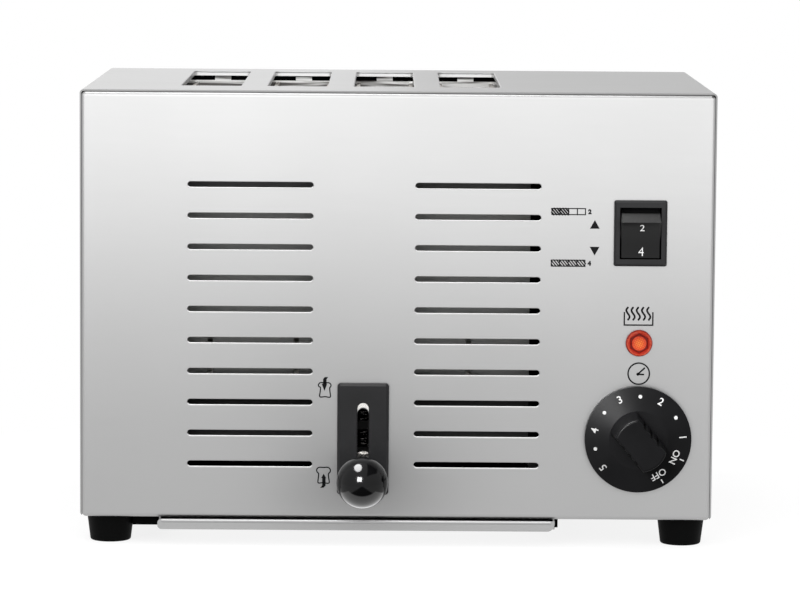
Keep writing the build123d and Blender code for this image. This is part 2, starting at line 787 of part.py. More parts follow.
# Bread carriage: a plate behind the front that carries the racks and rides on two guide rods
bar_left_x = slot_xs[0] - rack_end_margin
bar_right_x = slot_xs[-1] + rack_end_margin
guide_xs = (lever_x - guide_rod_spacing / 2, lever_x + guide_rod_spacing / 2)
shelf_width = guide_rod_spacing + 2 * bush_diameter
shelf_back_y = plate_front_y - fit_gap
with BuildPart() as carriage_plate:
    with BuildSketch(Plane.XZ.offset(-carriage_y)):
        with Locations(((bar_left_x + bar_right_x) / 2, rack_low)):
            Rectangle(bar_right_x - bar_left_x, carriage_bar_height, align=(Align.CENTER, Align.MIN))
        with Locations((lever_x, lever_z - carriage_foot_drop)):
            Rectangle(
                carriage_stem_width,
                rack_low + carriage_bar_height - lever_z + carriage_foot_drop,
                align=(Align.CENTER, Align.MIN),
            )
        with Locations((lever_x, shelf_z + carriage_thickness)):
            Rectangle(
                stem_window_width,
                stem_lower_window,
                align=(Align.CENTER, Align.MIN),
                mode=Mode.SUBTRACT,
            )
        with Locations((lever_x, shelf_z + carriage_thickness + stem_lower_window + stem_strip)):
            Rectangle(
                stem_window_width,
                rack_low + carriage_bar_height / 2 - shelf_z - carriage_thickness - stem_lower_window
                - stem_strip,
                align=(Align.CENTER, Align.MIN),
                mode=Mode.SUBTRACT,
            )
        with Locations((lever_x, lever_z)):
            Circle(lever_rod_diameter / 2, mode=Mode.SUBTRACT)
    extrude(amount=-carriage_thickness)
    with BuildSketch(Plane.XY.offset(shelf_z)):
        with Locations((lever_x, carriage_y)):
            Rectangle(shelf_width, shelf_back_y - carriage_y, align=(Align.CENTER, Align.MIN))
        with Locations(*[(x, guide_y) for x in guide_xs]):
            Circle(bush_diameter / 2, mode=Mode.SUBTRACT)
    extrude(amount=carriage_thickness)

with BuildPart() as guide_bushes:
    with Locations(*[(x, guide_y, shelf_z + carriage_thickness / 2) for x in guide_xs]):
        Cylinder(bush_diameter / 2, bush_length)
        Cylinder(guide_rod_diameter / 2 + bush_clearance, bush_length, mode=Mode.SUBTRACT)


def make_bread_rack(x):
    """Return one rack: an upright strip through both end plates with cross fingers under the bread."""
    strip_top = rack_low + carriage_bar_height - rack_finger_thickness
    finger_pitch = (slot_length - 2 * rack_end_margin) / (rack_finger_count - 1)
    with BuildPart() as rack:
        with BuildSketch(Plane.YZ.offset(x)):
            with Locations((carriage_back_y, rack_low)):
                Rectangle(tie_bar_y - carriage_back_y, strip_top - rack_low, align=(Align.MIN, Align.MIN))
        extrude(amount=rack_thickness / 2, both=True)
        with BuildSketch(Plane.XY.offset(strip_top)):
            with Locations((x, slot_mid_y)):
                with GridLocations(0, finger_pitch, 1, rack_finger_count):
                    SlotOverall(rack_finger_length, rack_finger_width)
        extrude(amount=rack_finger_thickness)
    return rack.part


with BuildPart() as rear_tie_bar:
    with BuildSketch(Plane.XZ.offset(-tie_bar_y)):
        with Locations(((bar_left_x + bar_right_x) / 2, rack_low)):
            Rectangle(bar_right_x - bar_left_x, carriage_bar_height, align=(Align.CENTER, Align.MIN))
    extrude(amount=-carriage_thickness)

# Guide rods on the base plate, held at the top by a bracket on the front plate
with BuildPart() as guide_rods:
    with Locations(*[(x, guide_y, base_top) for x in guide_xs]):
        Cylinder(guide_rod_diameter / 2, body_bottom + guide_rod_top - base_top, align=bottom_align)

bracket_z = body_bottom + guide_rod_top - carriage_thickness
with BuildPart() as guide_bracket:
    with BuildSketch(Plane.XY.offset(bracket_z)):
        with Locations((lever_x, plate_front_y)):
            Rectangle(
                shelf_width,
                plate_front_y - guide_y + guide_rod_diameter / 2 + carriage_thickness,
                align=(Align.CENTER, Align.MAX),
            )
        with Locations(*[(x, guide_y) for x in guide_xs]):
            Circle(guide_rod_diameter / 2, mode=Mode.SUBTRACT)
    extrude(amount=carriage_thickness)
    with Locations((lever_x, plate_front_y, bracket_z + carriage_thickness)):
        Box(shelf_width, carriage_thickness, bracket_height, align=(Align.CENTER, Align.MAX, Align.MIN))

# Return spring between the shelf of the carriage and its anchor on the front plate
spring_low = shelf_z + carriage_thickness + fit_gap
spring_high = spring_low + spring_length
spring_radius = spring_mean_diameter / 2


def spring_point(turn):
    """Return the wire's middle at a number of turns from the lower end of the coil."""
    angle = 2 * pi * turn
    rise = (spring_length - 2 * spring_wire) * turn / spring_turns
    return Vector(
        lever_x + spring_radius * cos(angle),
        guide_y + spring_radius * sin(angle),
        spring_low + spring_wire + rise,
    )


def spring_tangent(turn):
    """Return the wire's unit direction at that place."""
    angle = 2 * pi * turn
    pitch = (spring_length - 2 * spring_wire) / spring_turns
    step = Vector(
        -2 * pi * spring_radius * sin(angle), 2 * pi * spring_radius * cos(angle), pitch
    )
    return step.normalized()


def biarc_joint(start, end, leave, arrive):
    """Return the joint and the direction of two tangent arcs that lead from start to end."""
    chord = end - start
    total = leave + arrive
    a = 2 - 2 * leave.dot(arrive)
    b = 2 * chord.dot(total)
    reach = (sqrt(b * b + 4 * a * chord.dot(chord)) - b) / (2 * a)
    first = start + leave * reach
    second = end - arrive * reach
    return (first + second) * 0.5, (second - first).normalized()


with BuildPart() as return_spring:
    with BuildLine() as coil:
        lower_end = spring_point(0) - spring_tangent(0) * spring_wire
        Line(lower_end, spring_point(0))
        for quarter in range(4 * spring_turns):
            turns = (quarter / 4, (quarter + 1) / 4)
            start, end = spring_point(turns[0]), spring_point(turns[1])
            leave, arrive = spring_tangent(turns[0]), spring_tangent(turns[1])
            joint, direction = biarc_joint(start, end, leave, arrive)
            TangentArc(start, joint, tangent=leave)
            TangentArc(joint, end, tangent=direction)
        upper_end = spring_point(spring_turns) + spring_tangent(spring_turns) * spring_wire
        Line(spring_point(spring_turns), upper_end)
    with BuildSketch(Plane(lower_end, z_dir=spring_tangent(0))):
        Circle(spring_wire / 2)
    sweep(path=coil.line)

coil_gap = (spring_point(1) - spring_point(0)).length - spring_wire
print(f"return spring: least gap between turns {coil_gap:.2f} mm")

with BuildPart() as spring_anchor:
    with Locations((lever_x, plate_front_y, spring_high + fit_gap)):
        Box(
            anchor_width,
            plate_front_y - guide_y + spring_radius,
            carriage_thickness,
            align=(Align.CENTER, Align.MAX, Align.MIN),
        )
        Box(anchor_width, carriage_thickness, anchor_height, align=(Align.CENTER, Align.MAX, Align.MIN))

# Mains inlet: the gland in the rear panel and the terminal block on the base
gland_plane = Plane((control_x, rear_y, gland_z), x_dir=(-1, 0, 0), z_dir=(0, 1, 0))
with BuildPart() as cord_gland:
    with BuildSketch(gland_plane.offset(-sheet - gland_nut_height)):
        Circle(gland_body_diameter / 2)
    extrude(amount=sheet + gland_nut_height + gland_projection)
    chamfer(cord_gland.edges().group_by(Axis.Y)[-1], gland_flange_thickness / 2)
    with BuildSketch(gland_plane):
        Circle(gland_flange_diameter / 2)
    extrude(amount=gland_flange_thickness)
    with BuildSketch(gland_plane.offset(-sheet)):
        RegularPolygon(gland_nut_width / 2, 6, major_radius=False)
    extrude(amount=-gland_nut_height)
    with BuildSketch(gland_plane.offset(gland_projection)):
        Circle(gland_bore / 2)
    extrude(amount=-(gland_projection + sheet + gland_nut_height), mode=Mode.SUBTRACT)

with BuildPart() as terminal_block:
    with Locations((control_x, front_y + terminal_setback, base_top)):
        Box(terminal_length, terminal_width, terminal_height, align=bottom_align)
    fillet(terminal_block.edges().filter_by(Axis.Y).group_by(Axis.Z)[-1], bend)
    with Locations((control_x, front_y + terminal_setback, base_top + terminal_height)):
        with GridLocations(terminal_pitch, 0, terminal_poles, 1):
            Cylinder(terminal_hole / 2, terminal_height, mode=Mode.SUBTRACT)

pieces = {
    "casing": casing.part,
    "front_panel": front_panel.part,
    "rear_panel": rear_panel.part,
    "base_plate": base_plate.part,
    "base_screws": base_screws.part,
    "foot_front_left": make_foot(-foot_x, foot_ys[0]),
    "foot_front_right": make_foot(foot_x, foot_ys[0]),
    "foot_rear_left": make_foot(-foot_x, foot_ys[1]),
    "foot_rear_right": make_foot(foot_x, foot_ys[1]),
    "tray_rail_left": make_rail(rail_left_x, 1, rail_left_web, rail_left_top_flange),
    "tray_rail_right": make_rail(rail_right_x, -1, rail_thickness, rail_top_flange),
    "crumb_tray": crumb_tray.part,
    "lever_rod": lever_rod.part,
    "lever_knob": lever_knob.part,
    "lever_washer": lever_washer.part,
    "lever_nuts": lever_nuts.part,
    "lever_escutcheon": lever_escutcheon.part,
    "switch_housing": switch_housing.part,
    "rocker_button": rocker_button.part,
    "pilot_lamp_lens": pilot_lamp_lens.part,
    "pilot_lamp_body": pilot_lamp_body.part,
    "timer_body": timer_body.part,
    "timer_shaft": timer_shaft.part,
    "timer_knob": timer_knob.part,
    "inner_front_plate": make_end_plate(plate_front_y),
    "inner_rear_plate": make_end_plate(plate_rear_y),
    "chamber_wall_left": make_chamber_wall(wall_left_x - sheet),
    "chamber_wall_right": make_chamber_wall(wall_right_x),
    "control_partition": control_partition.part,
    "heater_ribbons": heater_ribbons.part,
    "carriage_plate": carriage_plate.part,
    "guide_bushes": guide_bushes.part,
    "rear_tie_bar": rear_tie_bar.part,
    "guide_rods": guide_rods.part,
    "guide_bracket": guide_bracket.part,
    "return_spring": return_spring.part,
    "spring_anchor": spring_anchor.part,
    "cord_gland": cord_gland.part,
    "terminal_block": terminal_block.part,
}
for number, x in enumerate(heater_xs, start=1):
    pieces[f"heater_board_{number}"] = make_heater_board(x)
for number, x in enumerate(slot_xs, start=1):
    pieces[f"bread_guard_{number}"] = make_bread_guard(x)
    pieces[f"bread_rack_{number}"] = make_bread_rack(x)

for name, piece in pieces.items():
    piece.label = name
    export_step(piece, f"parts/{name}.step")
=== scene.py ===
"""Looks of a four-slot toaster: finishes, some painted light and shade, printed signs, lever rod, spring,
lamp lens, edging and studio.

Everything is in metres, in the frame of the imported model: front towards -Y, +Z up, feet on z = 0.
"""
import json
import math

import bmesh
import bpy
import numpy as np
from bpy.props import FloatProperty, FloatVectorProperty, IntProperty, PointerProperty
from mathutils import Matrix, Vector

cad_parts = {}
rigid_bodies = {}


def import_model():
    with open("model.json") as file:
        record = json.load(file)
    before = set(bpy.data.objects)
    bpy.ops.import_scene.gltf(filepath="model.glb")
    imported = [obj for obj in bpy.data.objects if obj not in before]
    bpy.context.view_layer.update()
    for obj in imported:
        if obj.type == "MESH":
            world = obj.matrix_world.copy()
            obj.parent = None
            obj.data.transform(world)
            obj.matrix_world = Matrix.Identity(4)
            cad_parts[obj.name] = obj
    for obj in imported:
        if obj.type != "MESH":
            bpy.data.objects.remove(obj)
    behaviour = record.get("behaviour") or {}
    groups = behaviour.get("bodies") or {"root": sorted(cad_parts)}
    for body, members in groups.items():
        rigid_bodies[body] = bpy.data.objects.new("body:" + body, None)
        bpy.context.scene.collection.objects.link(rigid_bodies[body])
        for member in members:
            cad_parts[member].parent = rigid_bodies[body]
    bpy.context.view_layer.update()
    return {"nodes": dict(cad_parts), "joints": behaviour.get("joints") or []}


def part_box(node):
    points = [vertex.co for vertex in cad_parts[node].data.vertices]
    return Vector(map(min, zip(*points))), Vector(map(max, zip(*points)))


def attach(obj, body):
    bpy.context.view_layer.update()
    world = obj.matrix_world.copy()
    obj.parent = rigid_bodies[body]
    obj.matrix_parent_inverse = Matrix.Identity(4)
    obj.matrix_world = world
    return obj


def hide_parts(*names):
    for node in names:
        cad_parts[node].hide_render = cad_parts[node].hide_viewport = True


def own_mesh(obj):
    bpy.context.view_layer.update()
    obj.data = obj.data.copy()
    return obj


bl_info = {
    "name": "Four-slot toaster",
    "version": (1, 0, 0),
    "blender": (4, 5, 0),
    "location": "3D View > Sidebar > Toaster",
    "description": "Finishes, prints and lights a four-slot toaster",
    "category": "Object",
}

# The frame goes into an empty scene.
for thing in list(bpy.data.objects):
    bpy.data.objects.remove(thing)
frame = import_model()
MM = 0.001
FULL_TURN = 2 * np.pi


def middle(node):
    """The centre of a node's box."""
    low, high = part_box(node)
    return (low + high) / 2


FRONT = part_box("front_panel")[0].y
LEVER = middle("lever_rod").x
LEVER_TRAVEL = next(j["range_m"][1] for j in frame["joints"] if j["name"] == "lever_slide")
BALL = middle("lever_knob")
DIAL = middle("timer_knob")
DIAL_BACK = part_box("timer_knob")[1].y
DIAL_RADIUS = (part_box("timer_knob")[1].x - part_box("timer_knob")[0].x) / 2
LAMP = middle("pilot_lamp_lens")
LENS_FLOOR = 1.2 * MM
SWITCH = middle("switch_housing")
ROCKER_TILT = math.radians(15)
ROCKER_PIVOT = FRONT + 7.1 * MM
# Places of a Mix node's sockets, because those for colours and those for vectors have the same names.
COLOUR_A, COLOUR_B, COLOUR_OUT = 6, 7, 2
VECTOR_A, VECTOR_B, VECTOR_OUT = 4, 5, 1
HEAT_TINT = (0.2, 0.13, 0.07)


class ToasterFinish(bpy.types.PropertyGroup):
    """Colours of the finishes."""

    steel: FloatVectorProperty(
        name="Steel", description="Colour of the satin sheet",
        subtype="COLOR", default=(0.39, 0.39, 0.39),
    )
    chamber: FloatVectorProperty(
        name="Chamber", description="Colour of the plain inner sheet",
        subtype="COLOR", default=(0.33, 0.33, 0.325),
    )
    plated: FloatVectorProperty(
        name="Plated", description="Colour of rods, nuts and wires",
        subtype="COLOR", default=(0.56, 0.55, 0.53),
    )
    plastic: FloatVectorProperty(
        name="Plastic", description="Colour of the black mouldings",
        subtype="COLOR", default=(0.012, 0.012, 0.013),
    )
    knob: FloatVectorProperty(
        name="Ball", description="Colour of the lever's ball",
        subtype="COLOR", default=(0.0012, 0.0012, 0.0013),
    )
    rubber: FloatVectorProperty(
        name="Rubber", description="Colour of the feet",
        subtype="COLOR", default=(0.002, 0.0021, 0.0021),
    )
    lens: FloatVectorProperty(
        name="Lens", description="Colour of the lamp's lens",
        subtype="COLOR", default=(0.16, 0.006, 0.002),
    )
    ink: FloatVectorProperty(
        name="Ink", description="Colour of the signs on the panel",
        subtype="COLOR", default=(0.007, 0.007, 0.0075),
    )
    mark: FloatVectorProperty(
        name="Marks", description="Colour of the marks on black parts",
        subtype="COLOR", default=(0.86, 0.86, 0.85),
    )


class ToasterPrint(bpy.types.PropertyGroup):
    """Sizes of the printed signs."""

    film: FloatProperty(
        name="Film", description="Thickness of the ink", subtype="DISTANCE", unit="LENGTH", default=0.00004
    )
    digit: FloatProperty(
        name="Dial digits", description="Height of the dial's digits", unit="LENGTH", default=0.0037
    )
    word: FloatProperty(
        name="Dial words", description="Height of the dial's words", unit="LENGTH", default=0.0034
    )
    dot: FloatProperty(
        name="Dial dots", description="Diameter of the dial's dots", unit="LENGTH", default=0.0018
    )
    switch_digit: FloatProperty(
        name="Switch digits", description="Height of the switch's digits", unit="LENGTH", default=0.0038
    )


class ToasterLever(bpy.types.PropertyGroup):
    """Sizes of the lever's thread and its return spring."""

    thread_pitch: FloatProperty(
        name="Thread pitch", description="Step of the rod's thread", unit="LENGTH", default=0.0008
    )
    thread_depth: FloatProperty(
        name="Thread depth", description="Depth of the rod's thread", unit="LENGTH", default=0.00042
    )
    spring_turns: IntProperty(name="Spring turns", description="Turns of the return spring", default=15)
    spring_wire: FloatProperty(
        name="Spring wire", description="Diameter of the spring's wire", unit="LENGTH", default=0.0008
    )


class ToasterStudio(bpy.types.PropertyGroup):
    """Light, floor and lens of the studio."""

    sky: FloatProperty(name="Room light", description="Level of the even light", default=0.65)
    key: FloatProperty(
        name="Front box", description="Power of the box above the front", unit="POWER", default=2.12
    )
    back: FloatProperty(
        name="Back box", description="Power of the box behind the top", unit="POWER", default=0.8
    )
    top: FloatProperty(
        name="Top box", description="Power of the box overhead", unit="POWER", default=3.6
    )
    spark: FloatProperty(
        name="Small box", description="Power of the small box in front", unit="POWER", default=0.22
    )
    knobs: FloatProperty(
        name="Knob boxes", description="Power of the boxes for the knobs", unit="POWER", default=13.7
    )
    floor: FloatProperty(name="Floor", description="Radius of the floor", unit="LENGTH", default=3.0)
    lens: FloatProperty(name="Lens", description="Focal length of the camera in mm", default=179.78)


def new_piece(name, points, faces, material, body):
    """Make a piece from points and faces, closed seams merged and faces turned outwards, riding on a body."""
    mesh = bpy.data.meshes.new(name)
    mesh.from_pydata(np.asarray(points, float), [], faces)
    shaped = bmesh.new()
    shaped.from_mesh(mesh)
    bmesh.ops.remove_doubles(shaped, verts=shaped.verts, dist=1e-7)
    bmesh.ops.recalc_face_normals(shaped, faces=shaped.faces)
    shaped.to_mesh(mesh)
    shaped.free()
    mesh.materials.append(material)
    piece = bpy.data.objects.new(name, mesh)
    bpy.context.scene.collection.objects.link(piece)
    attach(piece, body)
    return piece


def smooth(piece, degrees=40.0):
    """Shade a piece smooth, with sharp edges where two faces turn by more than an angle."""
    piece.data.shade_smooth()
    piece.data.set_sharp_from_angle(angle=math.radians(degrees))


def grid_faces(rows, columns, closed):
    """Quads of a grid of rows by columns points; closed joins the last column to the first."""
    row = np.arange(rows - 1)[:, None] * columns
    column = np.arange(columns if closed else columns - 1)[None, :]
    after = (column + 1) % columns
    corners = [row + column, row + after, row + columns + after, row + columns + column]
    return np.stack(np.broadcast_arrays(*corners), -1).reshape(-1, 4).tolist()


def tube_faces(rows, sides):
    """Quads between rings of as many points, and a face that closes each end."""
    ends = np.array([[0], [rows - 1]]) * sides + np.arange(sides)
    return grid_faces(rows, sides, True) + ends.tolist()


def tube(line, out, up, radius, sides):
    """A circle carried along a line: cosine along out and sine along up at each point, times the radius."""
    around = np.linspace(0.0, FULL_TURN, sides, endpoint=False)[None, :, None]
    ring = out[:, None, :] * np.cos(around) + up[:, None, :] * np.sin(around)
    return (line[:, None, :] + radius * ring).reshape(-1, 3), tube_faces(len(line), sides)


def prism(outline, film):
    """Points and faces of a flat shape: its outline at height 0 and again at the film's height."""
    count = len(outline)
    low = np.column_stack([outline, np.zeros(count)])
    high = np.column_stack([outline, np.full(count, film)])
    here = np.arange(count)
    after = (here + 1) % count
    sides = np.stack([here, after, after + count, here + count], 1).tolist()
    return np.vstack([low, high]), sides + [here[::-1].tolist(), (here + count).tolist()]


def band(outer, inner, film):
    """A closed band between two outlines of as many points, film thick: five rings, the last on the first."""
    count = len(outer)
    rings = [np.column_stack([ring, np.full(count, height)]) for ring, height in (
        (outer, 0.0), (outer, film), (inner, film), (inner, 0.0), (outer, 0.0)
    )]
    return np.vstack(rings), grid_faces(len(rings), count, True)


def join(shapes):
    """One set of points and faces from several, each face's numbers moved on by the points before it."""
    points, faces, start = [], [], 0
    for some, around in shapes:
        points.append(some)
        faces += [(np.array(face) + start).tolist() for face in around]
        start += len(some)
    return np.vstack(points), faces


def arc(x, y, radius, start, end, count):
    """Points on a circle from one angle to another, in degrees, counter-clockwise from +x."""
    angle = np.radians(np.linspace(start, end, count))
    return np.column_stack([x + radius * np.cos(angle), y + radius * np.sin(angle)])


def circle(x, y, radius, count):
    """Points all round a circle."""
    return arc(x, y, radius, 0, 360, count + 1)[:-1]


def normals(path, closed):
    """Unit vectors to the left of a path's direction at each of its points."""
    ahead = np.roll(path, -1, 0) - np.roll(path, 1, 0)
    if not closed:
        ahead[0], ahead[-1] = path[1] - path[0], path[-1] - path[-2]
    ahead /= np.linalg.norm(ahead, axis=1)[:, None]
    return np.column_stack([-ahead[:, 1], ahead[:, 0]])


def rounded(path, steps):
    """A smoother path through the same points: Catmull-Rom pieces, each cut into steps."""
    ends = np.vstack([2 * path[0] - path[1], path, 2 * path[-1] - path[-2]])
    t = np.linspace(0, 1, steps, endpoint=False)[None, :, None]
    a, b, c, d = (ends[i:len(ends) - 3 + i][:, None, :] for i in range(4))
    curve = 0.5 * (2 * b + (c - a) * t + (2 * a - 5 * b + 4 * c - d) * t**2 + (3 * b - a - 3 * c + d) * t**3)
    return np.vstack([curve.reshape(-1, 2), path[-1:]])


def stroke(path, width, film):
    """A line of one width along an open path: its left side, a round end, its right side and a round end."""
    side = normals(path, False) * width / 2
    turn = np.degrees(np.arctan2(side[:, 1], side[:, 0]))
    last = arc(*path[-1], width / 2, turn[-1], turn[-1] - 180, 9)[1:-1]
    first = arc(*path[0], width / 2, turn[0] + 180, turn[0], 9)[1:-1]
    return prism(np.vstack([path + side, last, (path - side)[::-1], first]), film)


def loop(path, width, film):
    """A line of one width along a closed path, as a band between its two sides."""
    side = normals(path, True) * width / 2
    return band(path + side, path - side, film)


def letters(text, height, film, weight=0.0):
    """Points and faces of a short text, centred, of one height, lying flat with its film above."""
    curve = bpy.data.curves.new("letters", "FONT")
    curve.body = text
    curve.extrude = 0.5
    curve.offset = weight
    curve.resolution_u = 5
    holder = bpy.data.objects.new("letters", curve)
    bpy.context.scene.collection.objects.link(holder)
    mesh = bpy.data.meshes.new_from_object(holder.evaluated_get(bpy.context.evaluated_depsgraph_get()))
    places = np.empty(3 * len(mesh.vertices), np.float32)
    mesh.vertices.foreach_get("co", places)
    corners = np.empty(len(mesh.loops), np.int32)
    mesh.loops.foreach_get("vertex_index", corners)
    starts = np.empty(len(mesh.polygons), np.int32)
    mesh.polygons.foreach_get("loop_start", starts)
    bpy.data.objects.remove(holder)
    bpy.data.curves.remove(curve)
    bpy.data.meshes.remove(mesh)
    points = places.reshape(-1, 3).astype(float)
    low, high = points.min(0), points.max(0)
    points[:, :2] = (points[:, :2] - (low + high)[:2] / 2) * height / (high - low)[1]
    points[:, 2] = (points[:, 2] - low[2]) / (high - low)[2] * film
    return points, [face.tolist() for face in np.split(corners, starts[1:])]


def placed(shape, x, y, turn=0.0):
    """A flat shape turned clockwise by degrees and moved to x, y."""
    points, faces = shape
    angle = math.radians(turn)
    spin = np.array([[math.cos(angle), -math.sin(angle)], [math.sin(angle), math.cos(angle)]])
    return np.column_stack([points[:, :2] @ spin + (x, y), points[:, 2]]), faces


def on_panel(points):
    """Flat points on the front panel: x across, y up and the film's height towards the front."""
    return np.column_stack([points[:, 0], FRONT - points[:, 2], points[:, 1]])


def upright(points, start):
    """Flat points stood up from a place along Y: x across, y up and the height towards the rear."""
    return np.column_stack([points[:, 0], start + points[:, 2], points[:, 1]])


def on_rocker(across, out, up):
    """Points on the rocker: across it, out from its pivot and up along it, turned with its tilt."""
    return np.column_stack([
        SWITCH.x + across,
        ROCKER_PIVOT - out * math.cos(ROCKER_TILT) - up * math.sin(ROCKER_TILT),
        SWITCH.z - out * math.sin(ROCKER_TILT) + up * math.cos(ROCKER_TILT),
    ])


def group(name, inputs, outputs):
    """A new shader node group with named sockets; the group, its input node and its output node."""
    tree = bpy.data.node_groups.new(name, "ShaderNodeTree")
    for socket, kind, default in inputs:
        made = tree.interface.new_socket(socket, in_out="INPUT", socket_type=kind)
        made.default_value = default
    for socket in outputs:
        tree.interface.new_socket(socket, in_out="OUTPUT", socket_type="NodeSocketFloat")
    return tree, tree.nodes.new("NodeGroupInput").outputs, tree.nodes.new("NodeGroupOutput").inputs


def feed(tree, socket, value):
    """Link a socket to another one, or set it to a number or a colour."""
    if isinstance(value, bpy.types.NodeSocket):
        tree.links.new(value, socket)
    elif isinstance(value, (int, float)):
        socket.default_value = value
    else:
        socket.default_value = (*value, 1.0)


def noise(tree, vector, scale, detail, rough=0.5):
    """A noise texture read at a vector."""
    made = tree.nodes.new("ShaderNodeTexNoise")
    for socket, value in (("Vector", vector), ("Scale", scale), ("Detail", detail), ("Roughness", rough)):
        feed(tree, made.inputs[socket], value)
    return made.outputs["Fac"]


def spread(tree, value, low, high, to_low=0.0, to_high=1.0):
    """A value mapped from one range to another, clamped."""
    made = tree.nodes.new("ShaderNodeMapRange")
    sockets = ("Value", "From Min", "From Max", "To Min", "To Max")
    for socket, given in zip(sockets, (value, low, high, to_low, to_high)):
        feed(tree, made.inputs[socket], given)
    return made.outputs["Result"]


def math_node(tree, kind, first, second=0.0):
    """A math node of one or two values, each a socket or a number."""
    made = tree.nodes.new("ShaderNodeMath")
    made.operation = kind
    feed(tree, made.inputs[0], first)
    feed(tree, made.inputs[1], second)
    return made.outputs["Value"]


def axes(tree, vector):
    """The X, Y and Z of a vector."""
    made = tree.nodes.new("ShaderNodeSeparateXYZ")
    tree.links.new(vector, made.inputs["Vector"])
    return made.outputs


def mixed(tree, factor, first, second, blend="MIX"):
    """Two colours, each a socket or a value, mixed by a factor."""
    made = tree.nodes.new("ShaderNodeMix")
    made.data_type = "RGBA"
    made.blend_type = blend
    feed(tree, made.inputs["Factor"], factor)
    feed(tree, made.inputs[COLOUR_A], first)
    feed(tree, made.inputs[COLOUR_B], second)
    return made.outputs[COLOUR_OUT]


def relief(tree, shader, height, strength, depth):
    """Bump from a height into the shader's normal."""
    made = tree.nodes.new("ShaderNodeBump")
    made.inputs["Strength"].default_value = strength
    made.inputs["Distance"].default_value = depth
    tree.links.new(height, made.inputs["Height"])
    tree.links.new(made.outputs["Normal"], shader.inputs["Normal"])


def ramp(tree, value, stops):
    """Colours that run from stop to stop, each at a place from 0 to 1, as a value grows."""
    made = tree.nodes.new("ShaderNodeValToRGB")
    made.color_ramp.elements.remove(made.color_ramp.elements[1])
    for at, colour in stops:
        stop = made.color_ramp.elements[0] if at == 0.0 else made.color_ramp.elements.new(at)
        stop.color = (*colour, 1.0)
    tree.links.new(value, made.inputs["Fac"])
    return made.outputs["Color"]


def veil(tree, place, base, axis, stops):
    """Painted shade: a colour darkened along an axis, by stops of a distance and the share of light left
    there.
    """
    low, high = stops[0][0], stops[-1][0]
    greys = [((at - low) / (high - low), (left, left, left)) for at, left in stops]
    along = spread(tree, axes(tree, place)[axis], low, high)
    return mixed(tree, 1.0, base, ramp(tree, along, greys), "MULTIPLY")


def shade(colour, factor):
    """A colour made lighter or darker."""
    return tuple(min(1.0, channel * factor) for channel in colour)


def grain_group():
    """Sheet grain: long fine scratches on a stretched vector, and slow clouds on the plain one."""
    tree, start, end = group(
        "sheet grain",
        [("Vector", "NodeSocketVector", (0, 0, 0)), ("Stretched", "NodeSocketVector", (0, 0, 0))],
        ["Grain", "Cloud"],
    )
    fine = noise(tree, start["Stretched"], 1.0, detail=3.0, rough=0.65)
    slow = noise(tree, start["Vector"], 9.0, detail=2.0)
    tree.links.new(spread(tree, fine, 0.25, 0.75), end["Grain"])
    tree.links.new(spread(tree, slow, 0.3, 0.7), end["Cloud"])
    return tree


def skin_group():
    """Moulded skin: the fine spark-eroded grain of a mould, and the faint flow marks of the plastic."""
    tree, start, end = group(
        "moulded skin",
        [("Vector", "NodeSocketVector", (0, 0, 0)), ("Scale", "NodeSocketFloat", 2500.0)],
        ["Grain", "Flow"],
    )
    fine = noise(tree, start["Vector"], start["Scale"], detail=2.0, rough=0.6)
    slow = noise(tree, start["Vector"], 60.0, detail=3.0)
    tree.links.new(fine, end["Grain"])
    tree.links.new(spread(tree, slow, 0.3, 0.7), end["Flow"])
    return tree


def scorch_group():
    """Scorch: a mask of heat tint in patches that grow from one height to another, and a fine speckle."""
    tree, start, end = group(
        "scorch",
        [
            ("Vector", "NodeSocketVector", (0, 0, 0)),
            ("Low", "NodeSocketFloat", 0.05),
            ("High", "NodeSocketFloat", 0.2),
        ],
        ["Mask", "Speckle"],
    )
    rise = spread(tree, axes(tree, start["Vector"])["Z"], start["Low"], start["High"])
    patch = spread(tree, noise(tree, start["Vector"], 45.0, detail=4.0), 0.35, 0.7)
    speckle = spread(tree, noise(tree, start["Vector"], 900.0, detail=2.0), 0.4, 0.75)
    tree.links.new(math_node(tree, "MULTIPLY", rise, patch), end["Mask"])
    tree.links.new(speckle, end["Speckle"])
    return tree


def shared(name):
    """A shared effect by name, built the first time that it is asked for."""
    makers = {"sheet grain": grain_group, "moulded skin": skin_group, "scorch": scorch_group}
    return bpy.data.node_groups.get(name) or makers[name]()


def place_group(tree, name, vector, **values):
    """A shared effect placed in a material, read at a vector and given its own values; its outputs."""
    made = tree.nodes.new("ShaderNodeGroup")
    made.node_tree = shared(name)
    tree.links.new(vector, made.inputs["Vector"])
    for socket, value in values.items():
        feed(tree, made.inputs[socket], value)
    return made.outputs


def blank(name):
    """A new material with one Principled shader; its tree, the shader and Object coordinates."""
    material = bpy.data.materials.get(name) or bpy.data.materials.new(name)
    material.use_nodes = True
    tree = material.node_tree
    tree.nodes.clear()
    shader = tree.nodes.new("ShaderNodeBsdfPrincipled")
    out = tree.nodes.new("ShaderNodeOutputMaterial")
    tree.links.new(shader.outputs[0], out.inputs["Surface"])
    place = tree.nodes.new("ShaderNodeTexCoord").outputs["Object"]
    return material, tree, shader, place


